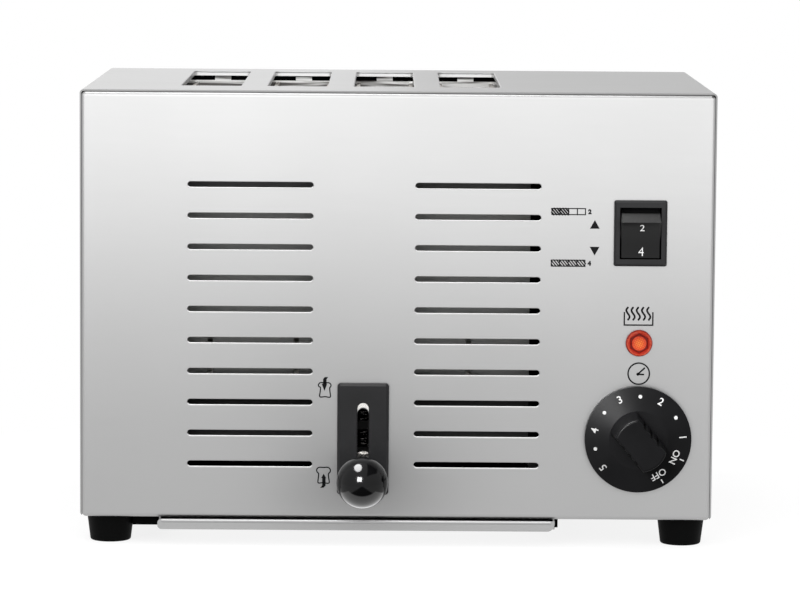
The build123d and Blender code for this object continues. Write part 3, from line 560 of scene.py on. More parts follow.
def sheet_finish(name, colour, rough, grain, scorch=None, veils=()):
    """Satin or mill sheet metal: grain along X, or along Y on the sides, slow clouds and heat tint if any.

    Each veil is painted shade: an axis and the stops that darken the sheet along it.
    """
    material, tree, shader, place = blank(name)
    shader.inputs["Metallic"].default_value = 1.0
    facing = tree.nodes.new("ShaderNodeNewGeometry").outputs["Normal"]
    sideways = math_node(tree, "ABSOLUTE", axes(tree, facing)["X"])
    along, across = 25.0, 1700.0
    stretch = tree.nodes.new("ShaderNodeMix")
    stretch.data_type = "VECTOR"
    tree.links.new(math_node(tree, "GREATER_THAN", sideways, 0.7), stretch.inputs["Factor"])
    stretch.inputs[VECTOR_A].default_value = (along, across, across)
    stretch.inputs[VECTOR_B].default_value = (across, along, across)
    stretched = tree.nodes.new("ShaderNodeVectorMath")
    stretched.operation = "MULTIPLY"
    tree.links.new(place, stretched.inputs[0])
    tree.links.new(stretch.outputs[VECTOR_OUT], stretched.inputs[1])
    marks = place_group(tree, "sheet grain", place, Stretched=stretched.outputs["Vector"])
    base = mixed(tree, marks["Cloud"], shade(colour, 0.97), shade(colour, 1.03))
    if scorch:
        burnt = place_group(tree, "scorch", place, Low=scorch[0], High=scorch[1])
        base = mixed(tree, burnt["Mask"], base, HEAT_TINT)
    for axis, stops in veils:
        base = veil(tree, place, base, axis, stops)
    tree.links.new(base, shader.inputs["Base Color"])
    polish = spread(tree, marks["Grain"], 0.0, 1.0, rough - grain, rough + grain)
    tree.links.new(polish, shader.inputs["Roughness"])
    relief(tree, shader, marks["Grain"], strength=0.12, depth=0.04 * MM)
    return material


def streaked_finish(name, colour, stain, rough):
    """Polished sheet with dark streaks that run level, partly heat streaks and partly a painted reflection.
    """
    material, tree, shader, place = blank(name)
    shader.inputs["Metallic"].default_value = 1.0
    stretched = tree.nodes.new("ShaderNodeMapping")
    stretched.inputs["Scale"].default_value = (28.0, 28.0, 420.0)
    tree.links.new(place, stretched.inputs["Vector"])
    streak = spread(tree, noise(tree, stretched.outputs["Vector"], 1.0, detail=2.0), 0.46, 0.62)
    tree.links.new(mixed(tree, streak, colour, stain), shader.inputs["Base Color"])
    tree.links.new(spread(tree, streak, 0.0, 1.0, rough, rough + 0.1), shader.inputs["Roughness"])
    relief(tree, shader, streak, strength=0.2, depth=0.1 * MM)
    return material


def moulded_finish(name, colour, rough, scale=2500.0, depth=0.03 * MM, level=0.3):
    """Moulded plastic, rubber or paint: fine skin in the bump and flow marks in colour and gloss."""
    material, tree, shader, place = blank(name)
    shader.inputs["Specular IOR Level"].default_value = level
    skin = place_group(tree, "moulded skin", place, Scale=scale)
    base = mixed(tree, skin["Flow"], shade(colour, 0.85), shade(colour, 1.2))
    tree.links.new(base, shader.inputs["Base Color"])
    gloss = spread(tree, skin["Flow"], 0.0, 1.0, rough * 0.9, rough * 1.1)
    tree.links.new(gloss, shader.inputs["Roughness"])
    relief(tree, shader, skin["Grain"], strength=0.25, depth=depth)
    return material


def bare_finish(name, colour, rough, scorch, stain):
    """Plated wire, rods and fasteners: bright metal with speckled dulling and heat tint."""
    material, tree, shader, place = blank(name)
    shader.inputs["Metallic"].default_value = 1.0
    burnt = place_group(tree, "scorch", place, Low=scorch[0], High=scorch[1])
    tree.links.new(mixed(tree, burnt["Mask"], colour, stain), shader.inputs["Base Color"])
    dull = spread(tree, burnt["Speckle"], 0.0, 1.0, rough, rough + 0.14)
    tree.links.new(dull, shader.inputs["Roughness"])
    relief(tree, shader, burnt["Speckle"], strength=0.1, depth=0.03 * MM)
    return material


def ink_finish(name, colour, rough):
    """Screen-printed ink: even colour with the faint mottling of the screen."""
    return moulded_finish(name, colour, rough, scale=6000.0, depth=0.01 * MM, level=0.06)


def lens_finish(name, colour):
    """Lit red plastic: an orange button crossed by dark lines, a dark hollow and a red rim.

    It glows more low down than at the top.
    """
    material, tree, shader, place = blank(name)
    shader.inputs["Roughness"].default_value = 0.15
    shader.inputs["Specular IOR Level"].default_value = 0.25
    shader.inputs["Emission Strength"].default_value = 0.85
    local = tree.nodes.new("ShaderNodeMapping")
    local.vector_type = "TEXTURE"
    local.inputs["Location"].default_value = LAMP
    local.inputs["Rotation"].default_value = (0.0, math.radians(25), 0.0)
    tree.links.new(place, local.inputs["Vector"])
    turned = axes(tree, local.outputs["Vector"])
    across = math_node(tree, "MULTIPLY", turned["X"], turned["X"])
    upward = math_node(tree, "MULTIPLY", turned["Z"], turned["Z"])
    reach = math_node(tree, "POWER", math_node(tree, "ADD", across, upward), 0.5)
    mottle = spread(tree, noise(tree, place, 900.0, detail=2.0), 0.3, 0.7, -0.3 * MM, 0.3 * MM)
    ring = spread(tree, math_node(tree, "ADD", reach, mottle), 0.0, 6.6 * MM)
    colours = ramp(tree, ring, (
        (0.0, (0.95, 0.36, 0.06)),
        (0.3, (0.9, 0.2, 0.03)),
        (0.52, (0.66, 0.06, 0.018)),
        (0.6, (0.2, 0.008, 0.004)),
        (0.78, (0.34, 0.02, 0.008)),
        (0.87, (0.62, 0.1, 0.04)),
        (0.94, (0.22, 0.012, 0.008)),
        (1.0, (0.05, 0.004, 0.003)),
    ))
    lines = []
    for axis in ("X", "Z"):
        wave = math_node(tree, "PINGPONG", turned[axis], 0.48 * MM)
        lines.append(spread(tree, wave, 0.0, 0.3 * MM, 1.0, 0.0))
    button_only = spread(tree, reach, 3.0 * MM, 3.5 * MM, 0.75, 0.0)
    crossed = math_node(tree, "MULTIPLY", math_node(tree, "MAXIMUM", *lines), button_only)
    plain = axes(tree, place)
    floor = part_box("pilot_lamp_lens")[1].y - LENS_FLOOR
    deep = spread(tree, plain["Y"], floor - 0.8 * MM, floor - 0.2 * MM)
    hollow = math_node(tree, "MULTIPLY", deep, math_node(tree, "LESS_THAN", reach, 5.6 * MM))
    colours = mixed(tree, crossed, colours, (0.46, 0.035, 0.01))
    colours = mixed(tree, hollow, colours, (0.07, 0.002, 0.001))
    lit = tree.nodes.new("ShaderNodeVectorMath")
    lit.operation = "SCALE"
    tree.links.new(colours, lit.inputs[0])
    fall = spread(tree, plain["Z"], LAMP.z - 6 * MM, LAMP.z + 6 * MM, 1.2, 0.62)
    tree.links.new(fall, lit.inputs["Scale"])
    tree.links.new(lit.outputs["Vector"], shader.inputs["Emission Color"])
    base = mixed(tree, ring, shade(colour, 1.3), shade(colour, 0.8))
    tree.links.new(base, shader.inputs["Base Color"])
    return material


def dress(material, *nodes):
    """Give a material to CAD nodes."""
    for node in nodes:
        for place in frame["nodes"][node].material_slots:
            place.material = material


class TOASTER_OT_casing(bpy.types.Operator):
    """Finish the outer sheets: casing, panels, base and crumb tray, with a lip in each bread slot"""

    bl_idname = "toaster.casing"
    bl_label = "Casing"

    def execute(self, context):
        """Satin sheets outside, painted shade on the inside of the rear panel, a duller base and lips
        lightened as painted light.
        """
        finish = context.scene.toaster_finish
        satin = sheet_finish("satin steel", finish.steel, rough=0.38, grain=0.03)
        dress(satin, "casing", "front_panel", "crumb_tray")
        # Painted shade: the rear panel's inside face is darkened to 0.02, so that the bread slots look black
        # inside.
        inner, outer = (corner.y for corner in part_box("rear_panel"))
        dark = 0.02
        inside = ("Y", ((inner, dark), (outer - 0.3 * MM, dark), (outer - 0.2 * MM, 1.0)))
        rear = sheet_finish("rear steel", finish.steel, rough=0.38, grain=0.03, veils=(inside,))
        dress(rear, "rear_panel")
        mill = sheet_finish("mill steel", shade(finish.steel, 0.8), rough=0.42, grain=0.05)
        dress(mill, "base_plate")
        # Painted highlight: the slot lips are the satin steel lightened 2.2 times, so that they look lit in
        # the slots' shade.
        self.lips(sheet_finish("slot steel", shade(finish.steel, 2.2), rough=0.45, grain=0.03))
        return {"FINISHED"}

    def lips(self, bright):
        """A lip in the rear end of each slot, in steel lightened as a painted highlight: a thin wall along
        the end and its two round corners.
        """
        half, corner = 15 * MM, 2.2 * MM
        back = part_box("inner_rear_plate")[0].y - 3.5 * MM
        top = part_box("casing")[1].z
        low, high = top - 2.38 * MM, top - 0.85 * MM
        walls = []
        for number in range(1, 5):
            x = middle(f"bread_guard_{number}").x
            outer, inner = (
                np.vstack([
                    arc(x - half + corner, back - corner, corner - inset, 180, 90, 9),
                    arc(x + half - corner, back - corner, corner - inset, 90, 0, 9),
                ])
                for inset in (0.03 * MM, 0.18 * MM)
            )
            walls.append(prism(np.vstack([outer, inner[::-1]]), high - low))
        points, faces = join(walls)
        smooth(new_piece("slot_lips", points + (0, 0, low), faces, bright, "housing"))


class TOASTER_OT_vent_rims(bpy.types.Operator):
    """Roll the lower edges of the air vents, in steel lightened as a painted highlight"""

    bl_idname = "toaster.vent_rims"
    bl_label = "Vent rims"

    def execute(self, context):
        """A small circle carried along a vent's lower edge and up its round ends, thinner at both tips."""
        # Painted highlight: the rims are the satin steel lightened 1.7 times, so that they show as bright
        # lines under the vents.
        bright = shade(context.scene.toaster_finish.steel, 1.7)
        steel = sheet_finish("rim steel", bright, rough=0.45, grain=0.03)
        half, bend, thick, sunk = 29.3 * MM, 1.38 * MM, 0.31 * MM, 0.14 * MM
        path = np.vstack([arc(-half, 0, bend, 195, 270, 9), arc(half, 0, bend, 270, 345, 9)])
        number = np.arange(len(path))
        from_tip = np.minimum(number, number[::-1])
        wide = thick * np.clip(0.2 + from_tip / 6, 0, 1)[:, None, None]
        line = np.column_stack([path, np.full(len(path), -sunk)])
        out = np.column_stack([normals(path, False), np.zeros(len(path))])
        up = np.broadcast_to((0.0, 0.0, 1.0), line.shape)
        rim, faces = tube(line, out, up, wide, sides=8)
        lowest, pitch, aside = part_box("front_panel")[0].z + 26.8 * MM, 15.33 * MM, 55.8 * MM
        points, faces = join([
            (rim + (x, lowest + row * pitch, 0.0), faces)
            for x in (LEVER - aside, LEVER + aside)
            for row in range(10)
        ])
        rear = upright(points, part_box("rear_panel")[1].y)
        for name, laid in (("vent_rims_front", on_panel(points)), ("vent_rims_rear", rear)):
            smooth(new_piece(name, laid, faces, steel, "housing"), 60.0)
        return {"FINISHED"}


class TOASTER_OT_chamber(bpy.types.Operator):
    """Finish the bread chamber: plates, walls, boards, ribbons, guards and racks"""

    bl_idname = "toaster.chamber"
    bl_label = "Bread chamber"

    def execute(self, context):
        """Plain sheet with heat tint, a front plate in painted shade, a rear one with streaks and painted
        reflection, wires, mica and ribbons.
        """
        finish = context.scene.toaster_finish
        inner = sheet_finish("chamber sheet", finish.chamber, rough=0.4, grain=0.05, scorch=(0.02, 0.34))
        dress(inner, "chamber_wall_left", "chamber_wall_right", "control_partition")
        # Painted shade on the inner front plate: near black in a strip behind the lever's slot, and bands up
        # the plate darkened by set amounts where it shows through the vents and the slot.
        half, edge, dark = 14 * MM, 0.1 * MM, 0.02
        slide = ("X", (
            (LEVER - half - edge, 1.0), (LEVER - half, dark),
            (LEVER + half, dark), (LEVER + half + edge, 1.0),
        ))
        painted_shade_bands = ("Z", (
            (0.03, 0.005), (0.0405, 0.005), (0.05, 0.28), (0.059, 0.13), (0.072, 0.13),
            (0.081, 0.85), (0.09, 1.0), (0.16, 1.0), (0.172, 0.38),
        ))
        plate = sheet_finish("front plate sheet", finish.chamber, rough=0.4, grain=0.05, veils=(slide, painted_shade_bands))
        dress(plate, "inner_front_plate")
        # The dark streaks on the inner rear plate are partly heat stain and partly a painted reflection, dark
        # like the tabs in the slots.
        streaked = streaked_finish("bright sheet", (0.9, 0.9, 0.89), stain=(0.16, 0.155, 0.15), rough=0.36)
        dress(streaked, "inner_rear_plate")
        hot, brown = (0.05, 0.3), (0.24, 0.16, 0.09)
        wire = bare_finish("guard wire", finish.plated, rough=0.28, scorch=hot, stain=brown)
        dress(wire, *[f"bread_{kind}_{i}" for kind in ("guard", "rack") for i in range(1, 5)])
        tan = (0.42, 0.36, 0.27)
        mica = moulded_finish("mica board", tan, rough=0.45, scale=700.0, depth=0.06 * MM, level=0.4)
        dress(mica, *[f"heater_board_{i}" for i in range(1, 6)])
        grey, burnt = (0.2, 0.19, 0.19), (0.1, 0.08, 0.09)
        ribbon = bare_finish("heater ribbon", grey, rough=0.42, scorch=hot, stain=burnt)
        dress(ribbon, "heater_ribbons")
        return {"FINISHED"}


class TOASTER_OT_works(bpy.types.Operator):
    """Finish the moving works: carriage, guides, brackets and fasteners, with a painted highlight in the
    lever slot
    """

    bl_idname = "toaster.works"
    bl_label = "Works"

    def execute(self, context):
        """Sheet darkened as painted shade, plated rods and screws, nuts lightened as painted highlight, a
        painted highlight on the panel, and bronze bushes.
        """
        finish = context.scene.toaster_finish
        # Painted shade: the carriage, tie bar, bracket and anchor are a tenth as light as the chamber sheet,
        # so that the lever slot looks black inside.
        dark = sheet_finish("painted shade steel", shade(finish.chamber, 0.1), rough=0.45, grain=0.06)
        dress(dark, "carriage_plate", "rear_tie_bar", "guide_bracket", "spring_anchor")
        cool = (0.3, 0.6)
        plated = bare_finish("plated steel", finish.plated, rough=0.22, scorch=cool, stain=(0.4, 0.36, 0.3))
        dress(plated, "guide_rods", "base_screws", "timer_shaft")
        # Painted highlight: the nuts, the washer and the crescent in the slot take the plated colour
        # lightened 1.6 times, so that they look lit in the slot's shade.
        pale = shade(finish.plated, 1.6)
        bright = bare_finish("bright plating", pale, rough=0.2, scorch=cool, stain=(0.6, 0.6, 0.6))
        dress(bright, "lever_nuts", "lever_washer")
        self.trim(bright)
        bronze, worn = (0.5, 0.33, 0.16), (0.3, 0.2, 0.1)
        dress(bare_finish("bush bronze", bronze, rough=0.3, scorch=(0.0, 0.2), stain=worn), "guide_bushes")
        return {"FINISHED"}

    def trim(self, bright):
        """A painted highlight: a crescent of lightened plating on the panel, between the top of its lever
        slot and that of the escutcheon's.
        """
        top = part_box("lever_rod")[1].z + LEVER_TRAVEL + 0.5 * MM
        outer = arc(LEVER, top, 2.78 * MM, 0, 180, 25)
        inner = arc(LEVER, top - 2.45 * MM, 2.82 * MM, 162, 18, 25)
        points, faces = prism(np.vstack([outer, inner]), 0.04 * MM)
        new_piece("lever_slot_highlight", on_panel(points), faces, bright, "housing")


class TOASTER_OT_mouldings(bpy.types.Operator):
    """Finish the mouldings: ball, escutcheon, switch, dial, feet, rails, gland and the cases inside"""

    bl_idname = "toaster.mouldings"
    bl_label = "Mouldings"

    def execute(self, context):
        """Black plastics of several glosses, a polished ball, rubber feet, painted rails and pale nylon."""
        finish = context.scene.toaster_finish
        satin = moulded_finish("black plastic", finish.plastic, rough=0.38, level=0.25)
        dress(satin, "lever_escutcheon", "cord_gland")
        dial = moulded_finish("dial plastic", shade(finish.plastic, 0.25), rough=0.31, level=0.055)
        dress(dial, "timer_knob")
        dress(moulded_finish("switch plastic", finish.plastic, rough=0.38, level=0.2), "switch_housing")
        rocker = moulded_finish("rocker plastic", shade(finish.plastic, 0.3), rough=0.3, level=0.3)
        dress(rocker, "rocker_button")
        self.lips(rocker)
        shine = {"scale": 300.0, "depth": 0.004 * MM, "level": 0.2}
        ball = moulded_finish("polished ball", finish.knob, rough=0.11, **shine)
        dress(ball, "lever_knob")
        matt = {"scale": 1500.0, "depth": 0.05 * MM, "level": 0.05}
        rubber = moulded_finish("foot rubber", finish.rubber, rough=0.6, **matt)
        dress(rubber, *[f"foot_{end}_{side}" for end in ("front", "rear") for side in ("left", "right")])
        paint = moulded_finish("rail paint", (0.002, 0.002, 0.002), rough=0.55, level=0.03)
        dress(paint, "tray_rail_left", "tray_rail_right")
        self.strip(paint)
        dress(moulded_finish("timer case", (0.09, 0.09, 0.095), rough=0.45), "timer_body")
        nylon = moulded_finish("inner nylon", (0.62, 0.6, 0.54), rough=0.42, scale=1200.0)
        dress(nylon, "terminal_block", "pilot_lamp_body")
        return {"FINISHED"}

    def strip(self, paint):
        """A wedge along the left rail's outer side, as wide as the gap to the feet, which taper downwards."""
        rail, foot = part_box("tray_rail_left"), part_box("foot_front_left")
        low, high = rail[0].z, foot[1].z - 0.2 * MM
        taper, overlap = 0.125, 0.05 * MM
        low_edge, high_edge = (foot[1].x + overlap - taper * (foot[1].z - z) for z in (low, high))
        side = rail[0].x + 0.1 * MM
        outline = np.array([(low_edge, low), (side, low), (side, high), (high_edge, high)])
        points, faces = prism(outline, rail[1].y - rail[0].y)
        new_piece("rail_strip", upright(points, rail[0].y), faces, paint, "housing")

    def lips(self, plastic):
        """A wedge at each end of the rocker, which carries its end face on towards the opening's edge."""
        half = 9.3 * MM
        wedge = np.array([(5.469, 12.267), (2.938, 13.465), (1.2, 11.0)]) * MM
        points, faces = join([prism(wedge, 2 * half), prism(wedge * (1, -1), 2 * half)])
        laid = on_rocker(points[:, 2] - half, points[:, 0], points[:, 1])
        new_piece("rocker_lips", laid, faces, plastic, "rocker")


class TOASTER_OT_lever_rod(bpy.types.Operator):
    """Cut the thread of the lever's rod"""

    bl_idname = "toaster.lever_rod"
    bl_label = "Lever rod"

    def execute(self, context):
        """Radius falls from the crest by a triangle wave of the way along less the turn, times the depth."""
        lever = context.scene.toaster_lever
        low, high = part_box("lever_rod")
        length = high.y - low.y
        crest, chamfer = (high.x - low.x) / 2 - 0.02 * MM, 0.6 * MM
        rows, sides = int(length / lever.thread_pitch * 6), 28
        along = np.linspace(0.0, length, rows)[:, None]
        turn = np.linspace(0.0, FULL_TURN, sides, endpoint=False)[None, :]
        phase = np.mod(along / lever.thread_pitch - turn / FULL_TURN, 1.0)
        depth = lever.thread_depth * np.abs(2 * phase - 1)
        ends = np.minimum(along, length - along)
        wide = np.minimum(crest - depth, crest - chamfer + ends)
        points = np.stack([
            (low.x + high.x) / 2 + wide * np.cos(turn),
            np.broadcast_to(low.y + along, wide.shape),
            (low.z + high.z) / 2 + wide * np.sin(turn),
        ], -1).reshape(-1, 3)
        colour = context.scene.toaster_finish.plated
        plated = bare_finish("threaded steel", colour, rough=0.2, scorch=(0.3, 0.6), stain=(0.4, 0.36, 0.3))
        faces = tube_faces(rows, sides)
        piece = new_piece("threaded_rod", points, faces, plated, "carriage")
        smooth(piece, 50.0)
        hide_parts("lever_rod")
        return {"FINISHED"}


class TOASTER_OT_spring(bpy.types.Operator):
    """Wind the return spring"""

    bl_idname = "toaster.spring"
    bl_label = "Return spring"

    def execute(self, context):
        """A circle of the wire's radius carried along a helix, with one flat turn at each end."""
        lever = context.scene.toaster_lever
        low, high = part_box("return_spring")
        length = high.z - low.z
        wire = lever.spring_wire / 2
        centre = (low + high) / 2
        mean = (high.x - low.x) / 2 - wire
        steps = lever.spring_turns * 40 + 1
        share = np.linspace(0.0, 1.0, steps)
        angle = FULL_TURN * lever.spring_turns * share
        flat = 1.0 / lever.spring_turns
        climb = np.clip((share - flat) / (1 - 2 * flat), 0, 1)
        ends = np.clip(share / flat, 0, 1) + np.clip((share - 1 + flat) / flat, 0, 1)
        height = low.z + wire + (length - 4 * wire) * climb + wire * ends
        line = np.column_stack([centre.x + mean * np.cos(angle), centre.y + mean * np.sin(angle), height])
        ahead = np.gradient(line, axis=0)
        ahead /= np.linalg.norm(ahead, axis=1)[:, None]
        out = np.column_stack([np.cos(angle), np.sin(angle), np.zeros(steps)])
        points, faces = tube(line, out, np.cross(out, ahead), wire, sides=10)
        dull = shade(context.scene.toaster_finish.plated, 0.5)
        finish = bare_finish("spring wire", dull, rough=0.26, scorch=(0.3, 0.6), stain=(0.4, 0.36, 0.3))
        piece = new_piece("coil_spring", points, faces, finish, "housing")
        smooth(piece, 60.0)
        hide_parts("return_spring")
        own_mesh(piece)
        return {"FINISHED"}


class TOASTER_OT_lamp(bpy.types.Operator):
    """Mould the pilot lamp's lens"""

    bl_idname = "toaster.lamp"
    bl_label = "Pilot lamp"

    def execute(self, context):
        """Rings round the lamp's axis: a button of small pyramids, a six-sided recess, a rim and a taper."""
        low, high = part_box("pilot_lamp_lens")
        radius, deep = (high.x - low.x) / 2, high.y - low.y
        sides, cap, pitch = 192, 3.5 * MM, 0.9 * MM
        turn = np.linspace(0.0, FULL_TURN, sides, endpoint=False)[None, :]
        button = np.linspace(0.0, cap, 36)[1:, None]
        across = (button * np.cos(turn) + button * np.sin(turn)) / pitch
        down = (button * np.cos(turn) - button * np.sin(turn)) / pitch
        pyramid = 1 - np.maximum(np.abs(np.mod(across, 1) - 0.5), np.abs(np.mod(down, 1) - 0.5)) * 2
        crown = deep - 0.3 * MM - 0.4 * MM * (button / cap) ** 2 + 0.25 * MM * pyramid
        sixth = FULL_TURN / 6
        six = 4.3 * MM / np.cos(np.mod(turn + sixth / 2, sixth) - sixth / 2)
        even = np.ones_like(turn)
        rings = [
            (3.6 * MM * even, LENS_FLOOR + 0.1 * MM),
            (3.7 * MM * even, LENS_FLOOR),
            (six - 0.2 * MM, LENS_FLOOR),
            (six, LENS_FLOOR + 0.2 * MM),
            (six + 0.1 * MM, deep - 0.3 * MM),
            (six + 0.35 * MM, deep),
            ((radius - 1.2 * MM) * even, deep),
            ((radius - 1.0 * MM) * even, deep - 0.15 * MM),
            ((radius - 0.05 * MM) * even, deep - 1.8 * MM),
            (radius * even, deep - 1.95 * MM),
            (radius * even, 0.0),
        ]
        wide = np.vstack([np.broadcast_to(button, crown.shape), *[ring for ring, _ in rings]])
        tall = np.vstack([crown, *[np.full_like(turn, height) for _, height in rings]])
        points = np.stack([LAMP.x + wide * np.cos(turn), high.y - tall, LAMP.z + wide * np.sin(turn)], -1)
        glow = lens_finish("lamp lens", context.scene.toaster_finish.lens)
        faces = tube_faces(len(wide), sides)
        piece = new_piece("lamp_lens", points.reshape(-1, 3), faces, glow, "housing")
        smooth(piece, 25.0)
        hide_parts("pilot_lamp_lens")
        return {"FINISHED"}


# Outlines of the two bread signs on the panel, in millimetres across and up.
LOWER_SLICE = np.array([
    (-35.4, 81.3), (-37.4, 81.5), (-38.4, 80.6), (-38.3, 79.6), (-37.5, 79.0), (-37.6, 77.0), (-37.9, 74.9),
    (-37.3, 74.3), (-35.2, 74.5), (-33.2, 74.2), (-32.5, 74.7), (-32.8, 77.0), (-32.9, 78.9), (-32.4, 79.6),
    (-32.4, 80.6), (-33.4, 81.4),
])
LOWER_ARROW = np.array([
    (-33.7, 84.3), (-35.4, 84.2), (-36.2, 83.2), (-36.2, 80.9), (-36.9, 80.9), (-35.5, 77.3), (-34.2, 80.9),
    (-34.5, 80.9), (-34.5, 83.1),
])
RAISE_SLICE = np.array([
    (-35.8, 39.3), (-38.0, 39.3), (-39.1, 38.3), (-38.9, 37.0), (-38.2, 36.2), (-38.3, 34.2), (-38.5, 32.0),
    (-37.9, 31.5), (-35.8, 31.7), (-33.6, 31.4), (-32.9, 32.0), (-33.2, 34.2), (-33.3, 36.1), (-32.6, 36.9),
    (-32.4, 38.2), (-33.5, 39.3),
])
RAISE_ARROW = np.array([
    (-37.4, 29.1), (-35.7, 29.2), (-34.7, 30.2), (-34.7, 34.0), (-34.4, 34.0), (-35.7, 36.2), (-36.9, 34.0),
    (-36.4, 34.0), (-36.4, 30.3),
])


class TOASTER_OT_signs(bpy.types.Operator):
    """Print the signs on the front panel"""

    bl_idname = "toaster.signs"
    bl_label = "Panel signs"

    def execute(self, context):
        """Flat outlines and lines in millimetres across and up the panel, each one film thick."""
        film = context.scene.toaster_print.film
        ink = ink_finish("panel ink", context.scene.toaster_finish.ink, rough=0.45)
        up = np.array([(-2.4, -2.15), (2.4, -2.15), (0.0, 2.15)]) * MM
        signs = {
            "sign_clock": self.clock(film),
            "sign_heat": self.heat(film),
            "sign_two_slots": self.bar(z=166.8, hatched=2, weight=0.84, film=film),
            "sign_four_slots": self.bar(z=141.4, hatched=4, weight=0.62, film=film),
            "sign_up": [placed(prism(up, film), 96.6 * MM, 160.6 * MM)],
            "sign_down": [placed(prism(-up, film), 96.6 * MM, 147.4 * MM)],
            "sign_lower": self.bread(LOWER_SLICE, LOWER_ARROW, film),
            "sign_raise": self.bread(RAISE_SLICE, RAISE_ARROW, film),
        }
        for name, shapes in signs.items():
            points, faces = join(shapes)
            new_piece(name, on_panel(points), faces, ink, "housing")
        return {"FINISHED"}

    def clock(self, film):
        """A ring, a small ring at its middle and two hands from there."""
        centre = np.array((119.1, 87.0)) * MM
        pivot = centre + np.array((-0.45, -0.28)) * MM
        shapes = [
            loop(circle(*centre, 5.25 * MM, 72), 0.75 * MM, film),
            loop(circle(*pivot, 0.5 * MM, 24), 0.5 * MM, film),
        ]
        for hand in (((-0.45, -0.25), (2.8, 2.75)), ((-0.45, -0.3), (2.3, -0.42))):
            shapes.append(stroke(np.array(hand) * MM + centre, 0.8 * MM, film))
        return shapes

    def heat(self, film):
        """An open tray, and five smooth waves that rise from it."""
        tray = np.array([
            (111.3, 117.5), (111.3, 110.7), (126.0, 110.7), (126.0, 117.5),
            (125.3, 117.5), (125.3, 111.4), (112.0, 111.4), (112.0, 117.5),
        ])
        bends = np.array([(-0.1, 3.0), (-0.8, 1.9), (-0.55, 0.8), (0.55, -0.8), (0.8, -1.85), (0.1, -3.0)])
        wave, first, pitch = rounded(bends, steps=6), np.array((113.4, 116.7)), np.array((2.55, 0.0))
        waves = [stroke((wave + first + i * pitch) * MM, 0.95 * MM, film) for i in range(5)]
        return [prism(tray * MM, film)] + waves

    def bar(self, z, hatched, weight, film):
        """A frame of four cells, the first ones crossed by slanting lines, and their number beside it."""
        left, width, height, cell = 75.2, 17.0, 3.5, 4.25
        half, gap = height / 2, 0.2
        corner = np.array((left, z))
        box = np.array([(0, -half), (width, -half), (width, half), (0, half)])
        shapes = [band((box + corner) * MM, (box * (0.94, 0.7) + corner + (0.51, 0.0)) * MM, film)]
        for wall in range(1, 4):
            line = np.array([(wall * cell, -half + gap), (wall * cell, half - gap)]) + corner
            shapes.append(stroke(line * MM, 0.55 * MM, film))
        for slant in range(-1, hatched * 3):
            start = slant * cell / 3
            across = np.clip(np.array([start, start + 2.6]), gap, hatched * cell)
            fall = half - gap - (across - start) * 1.2
            shapes.append(stroke((np.column_stack([across, fall]) + corner) * MM, weight * MM, film))
        number = letters(str(hatched), 2.5 * MM, film, weight=0.07)
        return shapes + [placed(number, (left + width + 1.9) * MM, z * MM)]

    def bread(self, slice_line, arrow, film):
        """A slice of bread drawn as a smooth closed line, and a filled arrow across its edge."""
        outline = rounded(np.vstack([slice_line, slice_line[:1]]), steps=5)[:-1]
        return [loop(outline * MM, 0.6 * MM, film), prism(arrow * MM, film)]


class TOASTER_OT_dial_marks(bpy.types.Operator):
    """Print the dial's digits, dots and words"""

    bl_idname = "toaster.dial_marks"
    bl_label = "Dial marks"

    def execute(self, context):
        """Flat marks round the dial's centre, laid on its cone, which rises evenly from rim to grip."""
        sizes = context.scene.toaster_print
        ink = ink_finish("dial ink", context.scene.toaster_finish.mark, rough=0.5)
        shapes = []

        def put(shape, angle, share):
            """Add a shape at an angle clockwise from the top, at a share of the dial's radius."""
            reach = share * DIAL_RADIUS
            way = math.radians(angle)
            shapes.append(placed(shape, reach * math.sin(way), reach * math.cos(way), angle))

        for text, angle in (("1", 86.0), ("2", 29.8), ("3", -25.3), ("4", -78.0), ("5", -128.9)):
            put(letters(text, sizes.digit, sizes.film, weight=0.01), angle, share=0.84)
        dot = prism(circle(0, 0, sizes.dot / 2, 24), sizes.film)
        for angle in (2.0, 58.6, -51.3, -102.2):
            put(dot, angle, share=0.82)
        tick = prism(np.array([(-0.3, -1.1), (0.3, -1.1), (0.3, 1.1), (-0.3, 1.1)]) * MM, sizes.film)
        for text, angle in (("ON", 114.5), ("OFF", 149.4)):
            put(letters(text, sizes.word, sizes.film, weight=0.012), angle, share=0.755)
            put(tick, angle, share=0.905)
        points, faces = join(shapes)
        far = np.hypot(points[:, 0], points[:, 1])
        grip, rise, rim = 14.5 * MM, 2.6 * MM, 2.6 * MM
        cone = rim + rise * np.clip((DIAL_RADIUS - far) / (DIAL_RADIUS - grip), 0, 1)
        marks = np.column_stack([
            DIAL.x + points[:, 0], DIAL_BACK - cone - points[:, 2], DIAL.z + points[:, 1]
        ])
        new_piece("dial_marks", marks, faces, ink, "timer_dial")
        return {"FINISHED"}


class TOASTER_OT_switch_marks(bpy.types.Operator):
    """Print the switch's digits"""

    bl_idname = "toaster.switch_marks"
    bl_label = "Switch marks"

    def execute(self, context):
        """Flat digits laid on the rocker's hollow, an arc between its two ridges, turned with its tilt."""
        sizes = context.scene.toaster_print
        ink = ink_finish("switch ink", context.scene.toaster_finish.mark, rough=0.5)
        ridge, reach, dish = 9.2 * MM, 12.0 * MM, 2.2 * MM
        bow = (ridge**2 + dish**2) / (2 * dish)
        two = letters("2", 0.94 * sizes.switch_digit, sizes.film)
        four = letters("4", 1.06 * sizes.switch_digit, sizes.film, weight=-0.012)
        points, faces = join([placed(two, x=0.6 * MM, y=6.0 * MM), placed(four, x=0.3 * MM, y=-6.3 * MM)])
        up = points[:, 1]
        out = reach - dish + bow - np.sqrt(bow**2 - up**2) + points[:, 2]
        marks = on_rocker(points[:, 0], out, up)
        new_piece("switch_marks", marks, faces, ink, "rocker")
        return {"FINISHED"}


